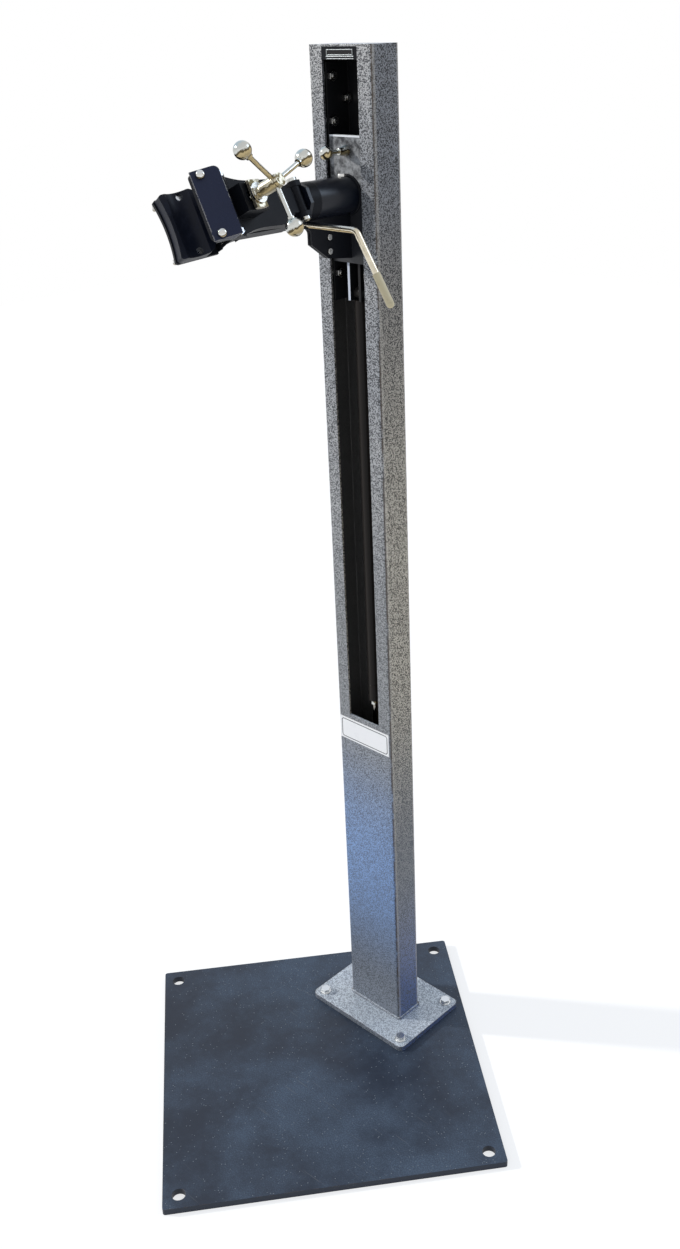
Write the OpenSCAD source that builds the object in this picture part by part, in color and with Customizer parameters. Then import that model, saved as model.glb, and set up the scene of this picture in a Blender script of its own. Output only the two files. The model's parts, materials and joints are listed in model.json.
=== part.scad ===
// Bicycle repair station: a slotted column with a lifting clamp arm, balanced by a gas spring.
// Millimetres. The origin is the centre of the floor bolts, on the underside of the base plate.
// The column faces -Y and the clamp arm reaches towards -Y.

/* [Base] */
// Side of the square base plate
base_size = 600; // [500:10:700]
// Thickness of the base plate
base_t = 12; // [8:1:16]
// Turn of the base plate against the column, in degrees
base_turn = 51; // [40:1:60]
// Distance of each floor bolt hole from the two nearest edges
floor_hole_inset = 28; // [22:1:40]
// Diameter of a floor bolt hole
floor_hole_d = 24; // [14:1:30]
// Column axis to the left of the plate's centre
column_offset_x = 15; // [0:1:25]
// Column axis behind the plate's centre
column_offset_y = 201; // [180:1:210]

/* [Column] */
// Height of the top of the column above the floor
column_top_h = 1812; // [1790:1:1900]
// Width of the column's front
column_w = 130; // [126:1:150]
// Depth of the column
column_d = 60; // [58:1:66]
// Wall of the column
column_wall = 4; // [3:0.5:5]
// Outer corner radius of the column
column_r = 6; // [4.5:0.5:9]
// Width of the front slot
slot_w = 72.6; // [70:0.2:80]
// Height of the bottom of the slot above the floor
slot_bottom_h = 682; // [500:1:720]
// Width of the flange under the column
flange_w = 244; // [220:2:280]
// Depth of the flange under the column
flange_d = 174; // [150:2:200]
// Thickness of the flange
flange_t = 10; // [8:1:14]
// Corner radius of the flange
flange_r = 12; // [6:1:20]
// Distance of a flange bolt from the two nearest edges
flange_bolt_inset = 19; // [16:1:26]
// Thickness of the lid on the column
cap_t = 3; // [2:1:6]
// Height of the stop across the top of the slot
stop_h = 18; // [12:1:20]
// Height of the bare plate under the slot
tag_h = 45; // [30:1:50]
// Pitch of the locking holes in the back wall
index_pitch = 66; // [60:1:80]
// Number of locking holes in the back wall
index_count = 11; // [8:1:12]

/* [Carriage] */
// Free height between the top of the carriage and the stop across the slot
carriage_stop_gap = 3; // [2:1:40]
// Width of the front plate and of the space in the channel
front_plate_w = 68; // [62:1:69]
// Thickness of the front plate
front_plate_t = 8; // [6:1:10]
// Front plate above the arm's axis
front_plate_up = 86; // [78:1:90]
// Front plate below the arm's axis
front_plate_down = 102; // [95:1:110]
// How far the front plate sits back from the column's front
front_recess = 7; // [6:0.5:8]
// Wall of the folded channel
channel_wall = 3; // [2.5:0.5:3.5]
// Channel above the arm's axis
channel_up = 188; // [180:1:190]
// Channel below the arm's axis
channel_down = 164; // [160:1:170]

/* [Rollers] */
// Outer diameter of a roller bearing
roller_d = 22; // [19:1:22]
// Width of a roller bearing
roller_w = 7; // [6:1:8]
// Diameter of a roller bolt
axle_d = 8; // [6:1:8]
// Running gap between a roller and the column wall
roller_gap = 0.3; // [0.3:0.1:0.6]

/* [Gas spring] */
// Outer diameter of the gas cylinder
cylinder_d = 22; // [20:1:24]
// Wall of the gas cylinder
cylinder_wall = 1.5; // [1:0.25:2]
// Length of the gas cylinder
cylinder_len = 723; // [710:1:725]
// Diameter of the piston rod
rod_d = 10; // [8:1:12]
// Thickness of an eye at either end
eye_t = 16; // [12:1:18]

/* [Arm tube] */
// Diameter of the arm tube and of the split collar
tube_d = 56; // [54:1:58]
// Diameter of the head spindle
spindle_d = 48; // [42:1:49]
// Length of the arm tube
tube_len = 82; // [76:1:90]
// Length of the split collar
collar_len = 18; // [15:1:20]
// Thickness of each of the two gusset plates
gusset_t = 4; // [3:0.5:5]
// Slit between the two gusset plates
slit_w = 2; // [1:0.5:3]
// Running gap of parts that turn or slide on each other, measured on the radius
run_gap = 0.08; // [0.05:0.01:0.1]

/* [Lock lever] */
// Diameter of the lever rod
lever_d = 9.5; // [8.5:0.5:10]
// Length of the lever along its own axis, to the bend
lever_reach = 103; // [98:1:115]
// Length of the lever from the bend to its end
lever_drop = 123; // [110:1:130]
// Angle of the lever's lower part below the horizontal, in degrees
lever_slope = 57; // [50:1:65]
// Bend radius of the lever
lever_bend_r = 12; // [10:1:20]
// Length of the sleeve on the lever
grip_len = 54; // [45:1:60]
// Diameter of the sleeve on the lever
grip_d = 12; // [11:0.5:14]

/* [Locking knob] */
// Height of the locking pin above the arm's axis
plunger_up = 64; // [62:1:70]
// Diameter of the locking pin
plunger_d = 10; // [8:1:10]
// Diameter of the knob's ball
plunger_ball_d = 20; // [18:1:24]
// Travel of the locking pin
plunger_travel = 7; // [5:0.5:7]

/* [Clamp head] */
// Turn of the clamp head about the arm, in degrees
head_turn = 26.7; // [0:0.1:40]
// Distance of the jaw hinge in front of the front plate
hinge_f = 115; // [115:1:117]
// Distance of the jaw hinge beside the arm's axis
hinge_s = 14; // [12:1:16]
// Diameter of the hinge pin
hinge_pin_d = 9; // [8:0.5:10]
// Angle by which the moving arm stands open, in degrees
arm_open = 7.3; // [6:0.1:8]
// Distance of the clamp screw in front of the front plate
screw_f = 248; // [246:0.5:250]
// Diameter of the clamp screw
screw_d = 12; // [10:1:14]

/* [Jaws] */
// Half height of a jaw
jaw_half = 46; // [44:1:48]
// Length of the fixed jaw pad
pad_len = 57; // [54:1:60]
// Thickness of the fixed jaw pad
pad_t = 20; // [16:1:20]
// Depth of the hollow in the fixed jaw pad
pad_hollow = 7; // [4:0.5:8]
// Length of the moving jaw pad
moving_pad_len = 33; // [30:1:40]
// Thickness of the moving jaw pad
moving_pad_t = 9; // [8:1:12]
// Thickness of a jaw plate
jaw_t = 6; // [5:1:8]
// Start of the jaw pads in front of the front plate
jaw_f = 276.6; // [274:0.2:278]

/* [Handle] */
// Distance of the spokes' root from the arm's axis, along the screw
hub_reach = 108; // [104:1:116]
// Diameter of the hub
hub_d = 20; // [18:1:22]
// Radius of the circle through the three balls
ball_circle_r = 68; // [60:1:72]
// Lift of the balls above the spokes' root
ball_lift = 10.4; // [8:0.2:14]
// Diameter of a ball
ball_d = 25; // [22:1:28]
// Diameter of a spoke
spoke_d = 7; // [6:0.5:9]

/* [Hidden] */
$fn = 48;

// One overrun serves every cut
over = 1;
// Gap between bodies that face each other
seat_gap = 0.3;
// Gap of parts that are fitted and don't turn
fit_gap = 0.1;

// Places of the column
col_x = -column_offset_x;
col_y = column_offset_y;
base_corner_r = 5;
flange_top = base_t + flange_t;
tube_top = column_top_h - cap_t;
arm_h = tube_top - stop_h - carriage_stop_gap - channel_up;
inner_w = column_w - 2 * column_wall;
inner_d = column_d - 2 * column_wall;
inner_r = column_r - column_wall;

// Hexagon fasteners: width across the flats and head height as shares of the thread diameter
hex_flat_share = 1.625;
hex_head_share = 0.65;
flange_bolt_d = 10;
flange_bolt_depth = 8;
flange_bolt_clear = 0.5;
washer_t = 2;
washer_share = 2.1;

// Column details
stop_back_t = 5;
stop_overlap = 9;
tag_t = 1;
tag_side_margin = 5;
tag_gap = 9;
index_clear = 0.5;
index_d = plunger_d + 2 * index_clear;
plunger_h = arm_h + plunger_up;

// Carriage places, measured from the column's axis
channel_lip_gap = 2;
channel_back_gap = 1.5;
front_y = -column_d / 2 + front_recess;
channel_front_y = -inner_d / 2 + channel_lip_gap;
channel_back_y = inner_d / 2 - channel_back_gap;
channel_half = front_plate_w / 2;
channel_outer = channel_half + channel_wall;
channel_bottom_h = arm_h - channel_down;
channel_top_h = arm_h + channel_up;
plate_bottom_h = arm_h - front_plate_down;
plate_top_h = arm_h + front_plate_up;

// Rollers: distance of each axle above the arm's axis
front_top_up = 168;
front_upper_up = 105;
front_low_up = -121;
rear_upper_up = 136;
rear_low_up = -152;
roller_y = inner_d / 2 - roller_gap - roller_d / 2;
spacer_t = 2.8;
spacer_d = 12;
roller_side_gap = 0.2;
roller_x0 = channel_outer + spacer_t + roller_side_gap;
roller_x1 = roller_x0 + roller_w;
roller_wall = 4;
roller_shoulder_d = 14;
roller_groove = 0.5;
axle_nut_t = 6.5;
axle_end = 2;
glide_d = 16;
glide_up = 60;
glide_down = 80;

// Gas spring places
eye_down = 152;
eye_h = arm_h - eye_down;
eye_r = 9;
eye_neck = 2;
eye_bolt_d = 8;
lug_t = 5;
lug_gap = 1;
lug_inner = eye_t / 2 + lug_gap;
lug_back_y = 11;
lug_up = 62;
cylinder_end_t = 5;
cylinder_top_h = eye_h - eye_r - eye_neck;
cylinder_bottom_h = cylinder_top_h - cylinder_len;
guide_plug = 30;
guide_nose = 8;
guide_nose_d = 16;
crimp_up = 32;
crimp_depth = 0.6;
crimp_w = 2.4;
piston_t = 10;
piston_gap = 0.1;
piston_rest = 1.2;
piston_h = cylinder_bottom_h + guide_plug + piston_rest;
anchor_up = 14;
anchor_lug_up = 12;
anchor_h = flange_top + anchor_up;
anchor_half_depth = 12;
pin_head_t = 3;
pin_head_d = 13;

// Arm tube, collar and gusset, measured forward from the front plate
slit_start = 30;
collar_gap = 0.2;
collar_end = tube_len + collar_len;
gusset_outer = slit_w / 2 + gusset_t;
gusset_tip_f = 94;
gusset_notch_r = 10;
gusset_front_f = gusset_tip_f - gusset_notch_r;
gusset_notch_drop = 49;
gusset_front_drop = 64;
gusset_low_f = 50;
gusset_low_drop = 88;
gusset_root_drop = 94;
lever_f = 90;
lever_down = tube_d / 2 + lever_d / 2 + seat_gap;
lever_thread_d = 8;
lever_boss_len = 7;
lever_boss_d = 10.6;
lever_gap = 0.2;
bend_lap = 1;
bend_swell = 0.06;
screw_head_d = 9;
screw_head_t = 3.5;
gusset_screw_d = 5;
gusset_screw_f = 49;
gusset_screw_down = 56;
gusset_screw_pitch = 21;
stop_screw_f = 11;
stop_screw_d = 6;
stop_screw_out = 4;
stop_screw_end_gap = 0.5;
spindle_groove_depth = 4;
spindle_groove_w = 9;
ring_t = 5;
ring_d = 58;

// Locking knob
housing_d = 17;
housing_nose_d = 10;
housing_len = 16;
guide_tube_d = 16;
plunger_shaft_d = 6;
plunger_ball_f = 42;
plunger_collar_d = 13;
plunger_collar_t = 3;
plunger_seat_gap = 0.2;
plunger_collar_y = channel_back_y - channel_wall - plunger_collar_t - plunger_seat_gap - plunger_travel;
spring_d = 12.4;
spring_bore = 6.6;

// Clamp head, measured along the arm's axis (F) and beside it (S)
flange_disc_t = 6.5;
flange_disc_flat = 56;
flange_start = collar_end + seat_gap;
root_f0 = flange_start + flange_disc_t;
root_f1 = 122;
root_back_t = 5;
root_back_s = 2;
root_half = 27;
root_lug_t = 8;
root_far_s = -38;
root_wall_t = 13;
hinge_boss_r = 8;
hinge_head_d = 16;
hinge_head_t = 4.5;
knuckle_r = 7.5;
knuckle_gap = 0.4;
knuckle_half = root_half - root_lug_t - knuckle_gap;
arm_wall = 4.5;
fixed_web_s = -36;
fixed_depth = 22;
fixed_half = 28.5;
fixed_waist_f = 205;
fixed_end_f = 262;
fixed_jaw_half = 43;
fixed_web_end_f = 310;
nut_s = -22;
nut_r = 8.6;
nut_pin_d = 8;
nut_gap = 0.3;
screw_hole_gap = 3;
nut_f = screw_f - nut_s * tan(arm_open);
// Side walls of the fixed arm: radius of their sweep and half width inside at the cross nut
fixed_run = fixed_end_f - fixed_waist_f;
fixed_rise = fixed_jaw_half - fixed_half;
fixed_sweep_r = (fixed_run * fixed_run + fixed_rise * fixed_rise) / (2 * fixed_rise);
nut_run = nut_f - nut_r - fixed_waist_f;
nut_rise = fixed_sweep_r - sqrt(fixed_sweep_r * fixed_sweep_r - nut_run * nut_run);
nut_half = fixed_half - arm_wall + nut_rise;
nut_pin_half = fixed_half - seat_gap + nut_rise;

// Moving arm, in the space whose X axis is the screw
swing_a = hinge_s * cos(arm_open) + (screw_f - hinge_f) * sin(arm_open);
swing_d = (screw_f - hinge_f) * cos(arm_open) - hinge_s * sin(arm_open);
web_a = 27;
moving_depth = 14;
moving_half = 34;
moving_waist = 44;
moving_front = 18;
moving_rear_back = 19.3;
moving_rear = swing_d - moving_rear_back;
moving_rear_half = 20;
moving_taper = 14;
link_thin = 9;
ramp_a = 46;
ramp_back = 6;
ramp_front = 25;
block_half = 19.5;
block_back = 24;
block_front = 20;
block_top = 64;
screw_slot_back = 13;
screw_slot_front = 11.5;
screw_slot_half = 7;
rocker_r = 20;
rocker_half_f = 11;
rocker_t = 8.5;
rocker_a = block_top + seat_gap;
washer_a = rocker_a + rocker_t;
washer_d = 29;
thrust_t = 2.8;
small_washer_d = 20;
small_washer_t = 1.2;
washer_end = washer_a + thrust_t + small_washer_t;

// Jaws
fixed_lean = 15.3;
moving_lean = 9.5;
fixed_pad_s = -4.2;
moving_pad_a = 30.2;
moving_pad_y = 31.3;
jaw_rear = 8;
jaw_front = 2;
jaw_corner_r = 6;
pad_hollow_share = 0.62;
pad_corner_r = 14;
pad_scoop = 5;
moving_hollow = 2;
cover_rear = 8.5;
cover_len = 37;
cover_rise = 18.4;
cover_nose = 1.5;
cover_half = 48;
cover_corner_r = 8;
cover_slope = atan((cover_rise - cover_nose) / cover_len);
jaw_bolt_d = 6;
jaw_bolt_t = 40.5;
pad_bolt_t = 39;
cover_bolt_d = 6;
nut_tip = 8;
jaw_nut_t = 5;
fixed_bolt_front = 52;
fixed_bolt_rear = 24;
pad_recess_d = 10;
pad_recess_wall = 5;
pad_screw_head_t = 3;
moving_bolt_fore = 1.5;
moving_jaw_front = cover_rear + cover_len;
cover_bolt_run = 28;
cover_bolt_len = 9;

// Handle
screw_tail = 46;
hub_start = 85;
hub_neck = 1.5;
hub_front = 4;
hub_end = hub_reach + hub_front;
hub_cap_r = 9;
hub_cap_t = 6;
spoke_phase = 52.5;
spoke_inner = 8;
spoke_end_share = 0.86;
spoke_tilt = atan(ball_lift / ball_circle_r);
ball_neck_d = 11;

// Basic forms
module block(x, y, z) {
    translate([x[0], y[0], z[0]]) cube([x[1] - x[0], y[1] - y[0], z[1] - z[0]]);
}

module rod_x(d, x0, x1) {
    translate([x0, 0, 0]) rotate([0, 90, 0]) cylinder(d = d, h = x1 - x0);
}

module rod_y(d, y0, y1) {
    translate([0, y0, 0]) rotate([-90, 0, 0]) cylinder(d = d, h = y1 - y0);
}

module rod_z(d, z0, z1) {
    translate([0, 0, z0]) cylinder(d = d, h = z1 - z0);
}

module hex_z(flat, z0, z1) {
    translate([0, 0, z0]) cylinder(d = flat / cos(30), h = z1 - z0, $fn = 6);
}

module hex_x(flat, x0, x1) {
    translate([x0, 0, 0]) rotate([0, 90, 0]) cylinder(d = flat / cos(30), h = x1 - x0, $fn = 6);
}

module rounded_rect(w, d, r) {
    square([w - 2 * r, d], center = true);
    square([w, d - 2 * r], center = true);
    for (x = [-1, 1], y = [-1, 1]) translate([x * (w / 2 - r), y * (d / 2 - r)]) circle(r = r);
}

// Extrudes an outline drawn in Y and Z along X, from x0 to x1
module along_x(x0, x1) {
    translate([x0, 0, 0]) rotate([90, 0, 90]) linear_extrude(x1 - x0) children();
}

// Spaces in which the pieces are drawn
module at_column() {
    translate([col_x, col_y, 0]) children();
}

module at_arm() {
    translate([col_x, col_y + front_y, arm_h]) children();
}

module at_head() {
    at_arm() rotate([0, -head_turn, 0]) children();
}

module at_swing() {
    at_head() translate([0, -screw_f, 0]) rotate([0, 0, arm_open]) children();
}

module at_fixed_jaw() {
    at_head() fixed_jaw_place() children();
}

module fixed_jaw_place() {
    translate([fixed_pad_s, -jaw_f, 0]) rotate([0, 0, -fixed_lean]) children();
}

module moving_jaw_place() {
    translate([moving_pad_a, -moving_pad_y, 0]) rotate([0, 0, -moving_lean]) children();
}

// Base and column
module corner_places(w, d, inset) {
    for (x = [-1, 1], y = [-1, 1]) translate([x * (w / 2 - inset), y * (d / 2 - inset), 0]) children();
}

module base_plate() {
    color("#1d1d1f") difference() {
        rotate([0, 0, base_turn]) difference() {
            linear_extrude(base_t) rounded_rect(base_size, base_size, base_corner_r);
            corner_places(base_size, base_size, floor_hole_inset) rod_z(floor_hole_d, -over, base_t + over);
        }
        at_column() corner_places(flange_w, flange_d, flange_bolt_inset)
            rod_z(flange_bolt_d + 2 * fit_gap, -over, base_t + over);
    }
}

module column_flange() {
    color("#9c9e9e") at_column() difference() {
        translate([0, 0, base_t]) linear_extrude(flange_t) rounded_rect(flange_w, flange_d, flange_r);
        corner_places(flange_w, flange_d, flange_bolt_inset)
            rod_z(flange_bolt_d + 2 * flange_bolt_clear, base_t - over, flange_top + over);
    }
}

module flange_bolts() {
    color("#b9b7ae") at_column() corner_places(flange_w, flange_d, flange_bolt_inset) {
        rod_z(flange_bolt_d, base_t - flange_bolt_depth, flange_top + washer_t);
        hex_z(flange_bolt_d * hex_flat_share, flange_top + washer_t,
              flange_top + washer_t + flange_bolt_d * hex_head_share);
        difference() {
            rod_z(flange_bolt_d * washer_share, flange_top, flange_top + washer_t);
            rod_z(flange_bolt_d, flange_top - over, flange_top + washer_t + over);
        }
    }
}

module column_tube() {
    color("#a3a5a5") at_column() difference() {
        translate([0, 0, flange_top]) linear_extrude(tube_top - flange_top) difference() {
            rounded_rect(column_w, column_d, column_r);
            rounded_rect(inner_w, inner_d, inner_r);
        }
        block([-slot_w / 2, slot_w / 2], [-column_d / 2 - over, -inner_d / 2 + over],
              [slot_bottom_h, tube_top + over]);
        for (i = [0:index_count - 1])
            translate([0, 0, plunger_h - i * index_pitch])
                rod_y(index_d, inner_d / 2 - over, column_d / 2 + over);
    }
}

module top_cap() {
    color("#a3a5a5") at_column() translate([0, 0, tube_top])
        linear_extrude(cap_t) rounded_rect(column_w, column_d, column_r);
}

module top_stop() {
    color("#141415") at_column() {
        block([-slot_w / 2, slot_w / 2], [-column_d / 2, -inner_d / 2], [tube_top - stop_h, tube_top]);
        block([-slot_w / 2 - stop_overlap, slot_w / 2 + stop_overlap],
              [-inner_d / 2, -inner_d / 2 + stop_back_t], [tube_top - stop_h, tube_top]);
    }
}

module tag_plate() {
    tag_half = column_w / 2 - tag_side_margin;
    color("#e9e9e6") at_column()
        block([-tag_half, tag_half], [-column_d / 2 - tag_t, -column_d / 2],
              [slot_bottom_h - tag_gap - tag_h, slot_bottom_h - tag_gap]);
}

// Gas spring anchor and rod
module anchor_lugs() {
    color("#8f9090") at_column() difference() {
        for (side = [-1, 1])
            block([side > 0 ? lug_inner : -lug_inner - lug_t, side > 0 ? lug_inner + lug_t : -lug_inner],
                  [-anchor_half_depth, anchor_half_depth], [flange_top, anchor_h + anchor_lug_up]);
        translate([0, 0, anchor_h])
            rod_x(eye_bolt_d + 2 * fit_gap, -lug_inner - lug_t - over, lug_inner + lug_t + over);
    }
}

module anchor_pin() {
    color("#c4b98f") at_column() translate([0, 0, anchor_h]) {
        rod_x(eye_bolt_d, -lug_inner - lug_t - pin_head_t, lug_inner + lug_t);
        rod_x(pin_head_d, lug_inner + lug_t, lug_inner + lug_t + pin_head_t);
    }
}

module spring_eye(h) {
    difference() {
        union() {
            translate([0, 0, h]) rod_x(2 * eye_r, -eye_t / 2, eye_t / 2);
            children();
        }
        translate([0, 0, h]) rod_x(eye_bolt_d + 2 * fit_gap, -eye_t / 2 - over, eye_t / 2 + over);
    }
}

module gas_rod() {
    color("#bfc3c6") at_column() spring_eye(anchor_h) rod_z(rod_d, anchor_h, piston_h);
}

module gas_piston() {
    color("#bfc3c6") at_column()
        rod_z(cylinder_d - 2 * cylinder_wall - 2 * piston_gap, piston_h, piston_h + piston_t);
}

// Carriage
module carriage_channel() {
    color("#232427") at_column() difference() {
        translate([0, 0, channel_bottom_h]) linear_extrude(channel_top_h - channel_bottom_h) {
            for (side = [-1, 1])
                translate([side * (channel_half + channel_wall / 2), (channel_front_y + channel_back_y) / 2])
                    square([channel_wall, channel_back_y - channel_front_y], center = true);
            translate([0, channel_back_y - channel_wall / 2])
                square([2 * channel_outer, channel_wall], center = true);
        }
        roller_axles() rod_x(axle_d + 2 * fit_gap, -channel_outer - over, channel_outer + over);
        translate([0, 0, plunger_h])
            rod_y(guide_tube_d, channel_back_y - channel_wall - over, channel_back_y + over);
    }
}

module front_plate() {
    color("#202124") at_column() difference() {
        block([-channel_half, channel_half], [front_y, front_y + front_plate_t],
              [plate_bottom_h, plate_top_h]);
        translate([0, 0, arm_h])
            rod_y(spindle_d + 2 * run_gap, front_y - over, front_y + front_plate_t + over);
        translate([0, 0, plunger_h]) rod_y(guide_tube_d, front_y - over, front_y + front_plate_t + over);
    }
}

module eye_lugs() {
    color("#3a3b3d") at_column() difference() {
        for (side = [-1, 1])
            block([side > 0 ? lug_inner : -lug_inner - lug_t, side > 0 ? lug_inner + lug_t : -lug_inner],
                  [front_y + front_plate_t, lug_back_y],
                  [eye_h - eye_r - eye_neck, plate_bottom_h + lug_up]);
        translate([0, 0, eye_h])
            rod_x(eye_bolt_d + 2 * fit_gap, -lug_inner - lug_t - over, lug_inner + lug_t + over);
    }
}

module eye_bolt() {
    color("#c4b98f") at_column() translate([0, 0, eye_h]) {
        rod_x(eye_bolt_d, -lug_inner - lug_t, lug_inner + lug_t);
        hex_x(eye_bolt_d * hex_flat_share, lug_inner + lug_t, lug_inner + lug_t + axle_nut_t);
        hex_x(eye_bolt_d * hex_flat_share, -lug_inner - lug_t - axle_nut_t, -lug_inner - lug_t);
    }
}

module gas_cylinder() {
    color("#1a1a1c") at_column() spring_eye(eye_h) {
        rod_z(rod_d, cylinder_top_h - over, eye_h);
        difference() {
            rod_z(cylinder_d, cylinder_bottom_h, cylinder_top_h);
            rod_z(cylinder_d - 2 * cylinder_wall, cylinder_bottom_h - over, cylinder_top_h - cylinder_end_t);
            translate([0, 0, cylinder_bottom_h + crimp_up]) rotate_extrude()
                translate([cylinder_d / 2 + crimp_w / 2 - crimp_depth, 0]) circle(d = crimp_w);
        }
    }
}

module rod_guide() {
    color("#b4b6b8") at_column() difference() {
        union() {
            rod_z(cylinder_d - 2 * cylinder_wall, cylinder_bottom_h, cylinder_bottom_h + guide_plug);
            rod_z(guide_nose_d, cylinder_bottom_h - guide_nose, cylinder_bottom_h);
        }
        rod_z(rod_d + 2 * run_gap, cylinder_bottom_h - guide_nose - over,
              cylinder_bottom_h + guide_plug + over);
    }
}

// Rollers and their bolts
module roller_axles() {
    for (place = [[-1, front_top_up], [-1, front_upper_up], [-1, front_low_up], [1, rear_upper_up],
                  [1, rear_low_up]])
        translate([0, place[0] * roller_y, arm_h + place[1]]) children();
}

module both_sides() {
    children();
    mirror([1, 0, 0]) children();
}

module roller_bolts() {
    color("#c4b98f") at_column() roller_axles() both_sides() {
        rod_x(axle_d, channel_half - axle_nut_t - axle_end, roller_x1 + roller_side_gap);
        hex_x(axle_d * hex_flat_share, roller_x1 + roller_side_gap,
              roller_x1 + roller_side_gap + axle_d * hex_head_share);
    }
}

module roller_nuts() {
    color("#c4b98f") at_column() roller_axles() both_sides() difference() {
        hex_x(axle_d * hex_flat_share, channel_half - axle_nut_t, channel_half);
        rod_x(axle_d, channel_half - axle_nut_t - over, channel_half + over);
    }
}

module roller_spacers() {
    color("#b4b6b8") at_column() roller_axles() both_sides() difference() {
        rod_x(spacer_d, channel_outer, channel_outer + spacer_t);
        rod_x(axle_d, channel_outer - over, channel_outer + spacer_t + over);
    }
}

module roller_pair(side, up) {
    color("#c9cbcc") at_column() translate([0, side * roller_y, arm_h + up]) both_sides() difference() {
        rod_x(roller_d, roller_x0, roller_x1);
        rod_x(axle_d + 2 * run_gap, roller_x0 - over, roller_x1 + over);
        for (face = [roller_x0 - over, roller_x1 - roller_groove]) difference() {
            rod_x(roller_d - roller_wall, face, face + over + roller_groove);
            rod_x(roller_shoulder_d, face - over, face + 2 * over + roller_groove);
        }
    }
}

module side_glides() {
    color("#d8d6cf") at_column() for (up = [glide_up, -glide_down]) translate([0, 0, arm_h + up])
        both_sides() rod_x(glide_d, channel_outer, inner_w / 2 - seat_gap);
}

// Arm tube, split collar and gusset
module arm_tube() {
    color("#17181a") at_arm() difference() {
        rod_y(tube_d, -tube_len, 0);
        rod_y(spindle_d + 2 * run_gap, -tube_len - over, over);
        block([-slit_w / 2, slit_w / 2], [-tube_len - over, -slit_start], [-tube_d, 0]);
        translate([0, -stop_screw_f, 0]) rod_z(stop_screw_d + 2 * fit_gap, 0, tube_d);
    }
}

module split_collar() {
    color("#17181a") at_arm() difference() {
        rod_y(tube_d, -collar_end, -tube_len - collar_gap);
        rod_y(spindle_d + 2 * run_gap, -collar_end - over, -tube_len + over);
        block([-slit_w / 2, slit_w / 2], [-collar_end - over, -tube_len + over], [-tube_d, 0]);
    }
}

module gusset_outline() {
    difference() {
        polygon([[0, 0], [0, -gusset_root_drop], [-gusset_low_f, -gusset_low_drop],
                 [-gusset_front_f, -gusset_front_drop], [-gusset_front_f, -gusset_notch_drop],
                 [-gusset_tip_f, -gusset_notch_drop], [-gusset_tip_f, 0]]);
        translate([-gusset_tip_f, -gusset_notch_drop]) circle(r = gusset_notch_r);
    }
}

module gusset_plates() {
    color("#1b1c1e") at_arm() difference() {
        for (side = [-1, 1])
            along_x(side > 0 ? slit_w / 2 : -gusset_outer, side > 0 ? gusset_outer : -slit_w / 2)
                gusset_outline();
        rod_y(tube_d, -collar_end, over);
        block([-gusset_outer - over, gusset_outer + over], [-collar_end, over], [0, tube_d]);
        translate([0, -lever_f, -lever_down])
            rod_x(lever_thread_d + 2 * run_gap, -gusset_outer - over, gusset_outer + over);
        gusset_screw_places()
            rod_x(gusset_screw_d + 2 * fit_gap, -gusset_outer - over, gusset_outer + over);
    }
}

module gusset_screw_places() {
    for (i = [0, 1])
        translate([0, -gusset_screw_f, -gusset_screw_down - i * gusset_screw_pitch]) children();
}

module gusset_screws() {
    color("#c4b98f") at_arm() gusset_screw_places() {
        rod_x(gusset_screw_d, -gusset_outer - over, gusset_outer);
        rod_x(screw_head_d, gusset_outer, gusset_outer + screw_head_t);
    }
}

module lever_boss() {
    color("#1b1c1e") at_arm() translate([0, -lever_f, -lever_down]) difference() {
        rod_x(lever_boss_d, -gusset_outer - lever_boss_len, -gusset_outer);
        rod_x(lever_thread_d + 2 * run_gap, -gusset_outer - lever_boss_len - over, -gusset_outer + over);
    }
}

module stop_screw() {
    color("#d8d2bc") at_arm() translate([0, -stop_screw_f, 0]) {
        rod_z(stop_screw_d, spindle_d / 2 - spindle_groove_depth + stop_screw_end_gap, tube_d / 2);
        hex_z(stop_screw_d * hex_flat_share, tube_d / 2, tube_d / 2 + stop_screw_out);
    }
}

// Lock lever: a bent rod whose threaded end pulls the gusset plates together
module lever_path_end() {
    translate([lever_reach, 0, 0]) rotate([0, lever_slope, 0]) children();
}

module lock_lever() {
    bend_cut = lever_bend_r * tan(lever_slope / 2);
    color("#cfc49a") at_arm() translate([0, -lever_f, -lever_down]) {
        rod_x(lever_thread_d, -gusset_outer - lever_boss_len - axle_end, gusset_outer + over);
        rod_x(lever_d, gusset_outer + lever_gap, lever_reach - bend_cut + bend_lap);
        translate([lever_reach - bend_cut, 0, -lever_bend_r])
            rotate([90, 0, 0]) rotate([0, 0, 90 - lever_slope]) rotate_extrude(angle = lever_slope)
                translate([lever_bend_r, 0]) circle(d = lever_d + 2 * bend_swell);
        lever_path_end() rod_x(lever_d, bend_cut - bend_lap, lever_drop - grip_len / 2);
    }
}

module lever_grip() {
    color("#d9d3bd") at_arm() translate([0, -lever_f, -lever_down]) lever_path_end() difference() {
        union() {
            rod_x(grip_d, lever_drop - grip_len, lever_drop - grip_d / 2);
            translate([lever_drop - grip_d / 2, 0, 0]) sphere(d = grip_d);
        }
        rod_x(lever_d, lever_drop - grip_len - over, lever_drop - grip_len / 2);
    }
}

// Locking knob
module plunger_housing() {
    color("#c4b98f") at_column() translate([0, 0, plunger_h]) difference() {
        union() {
            translate([0, front_y, 0]) rotate([90, 0, 0])
                cylinder(d1 = housing_d, d2 = housing_nose_d, h = housing_len);
            rod_y(guide_tube_d, front_y, channel_back_y);
        }
        rod_y(plunger_collar_d + 2 * run_gap, front_y + front_plate_t / 2, channel_back_y - channel_wall);
        rod_y(plunger_shaft_d + 2 * run_gap, front_y - housing_len - over, front_y + front_plate_t);
        rod_y(plunger_d + 2 * run_gap, channel_back_y - channel_wall - over, channel_back_y + over);
    }
}

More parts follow.
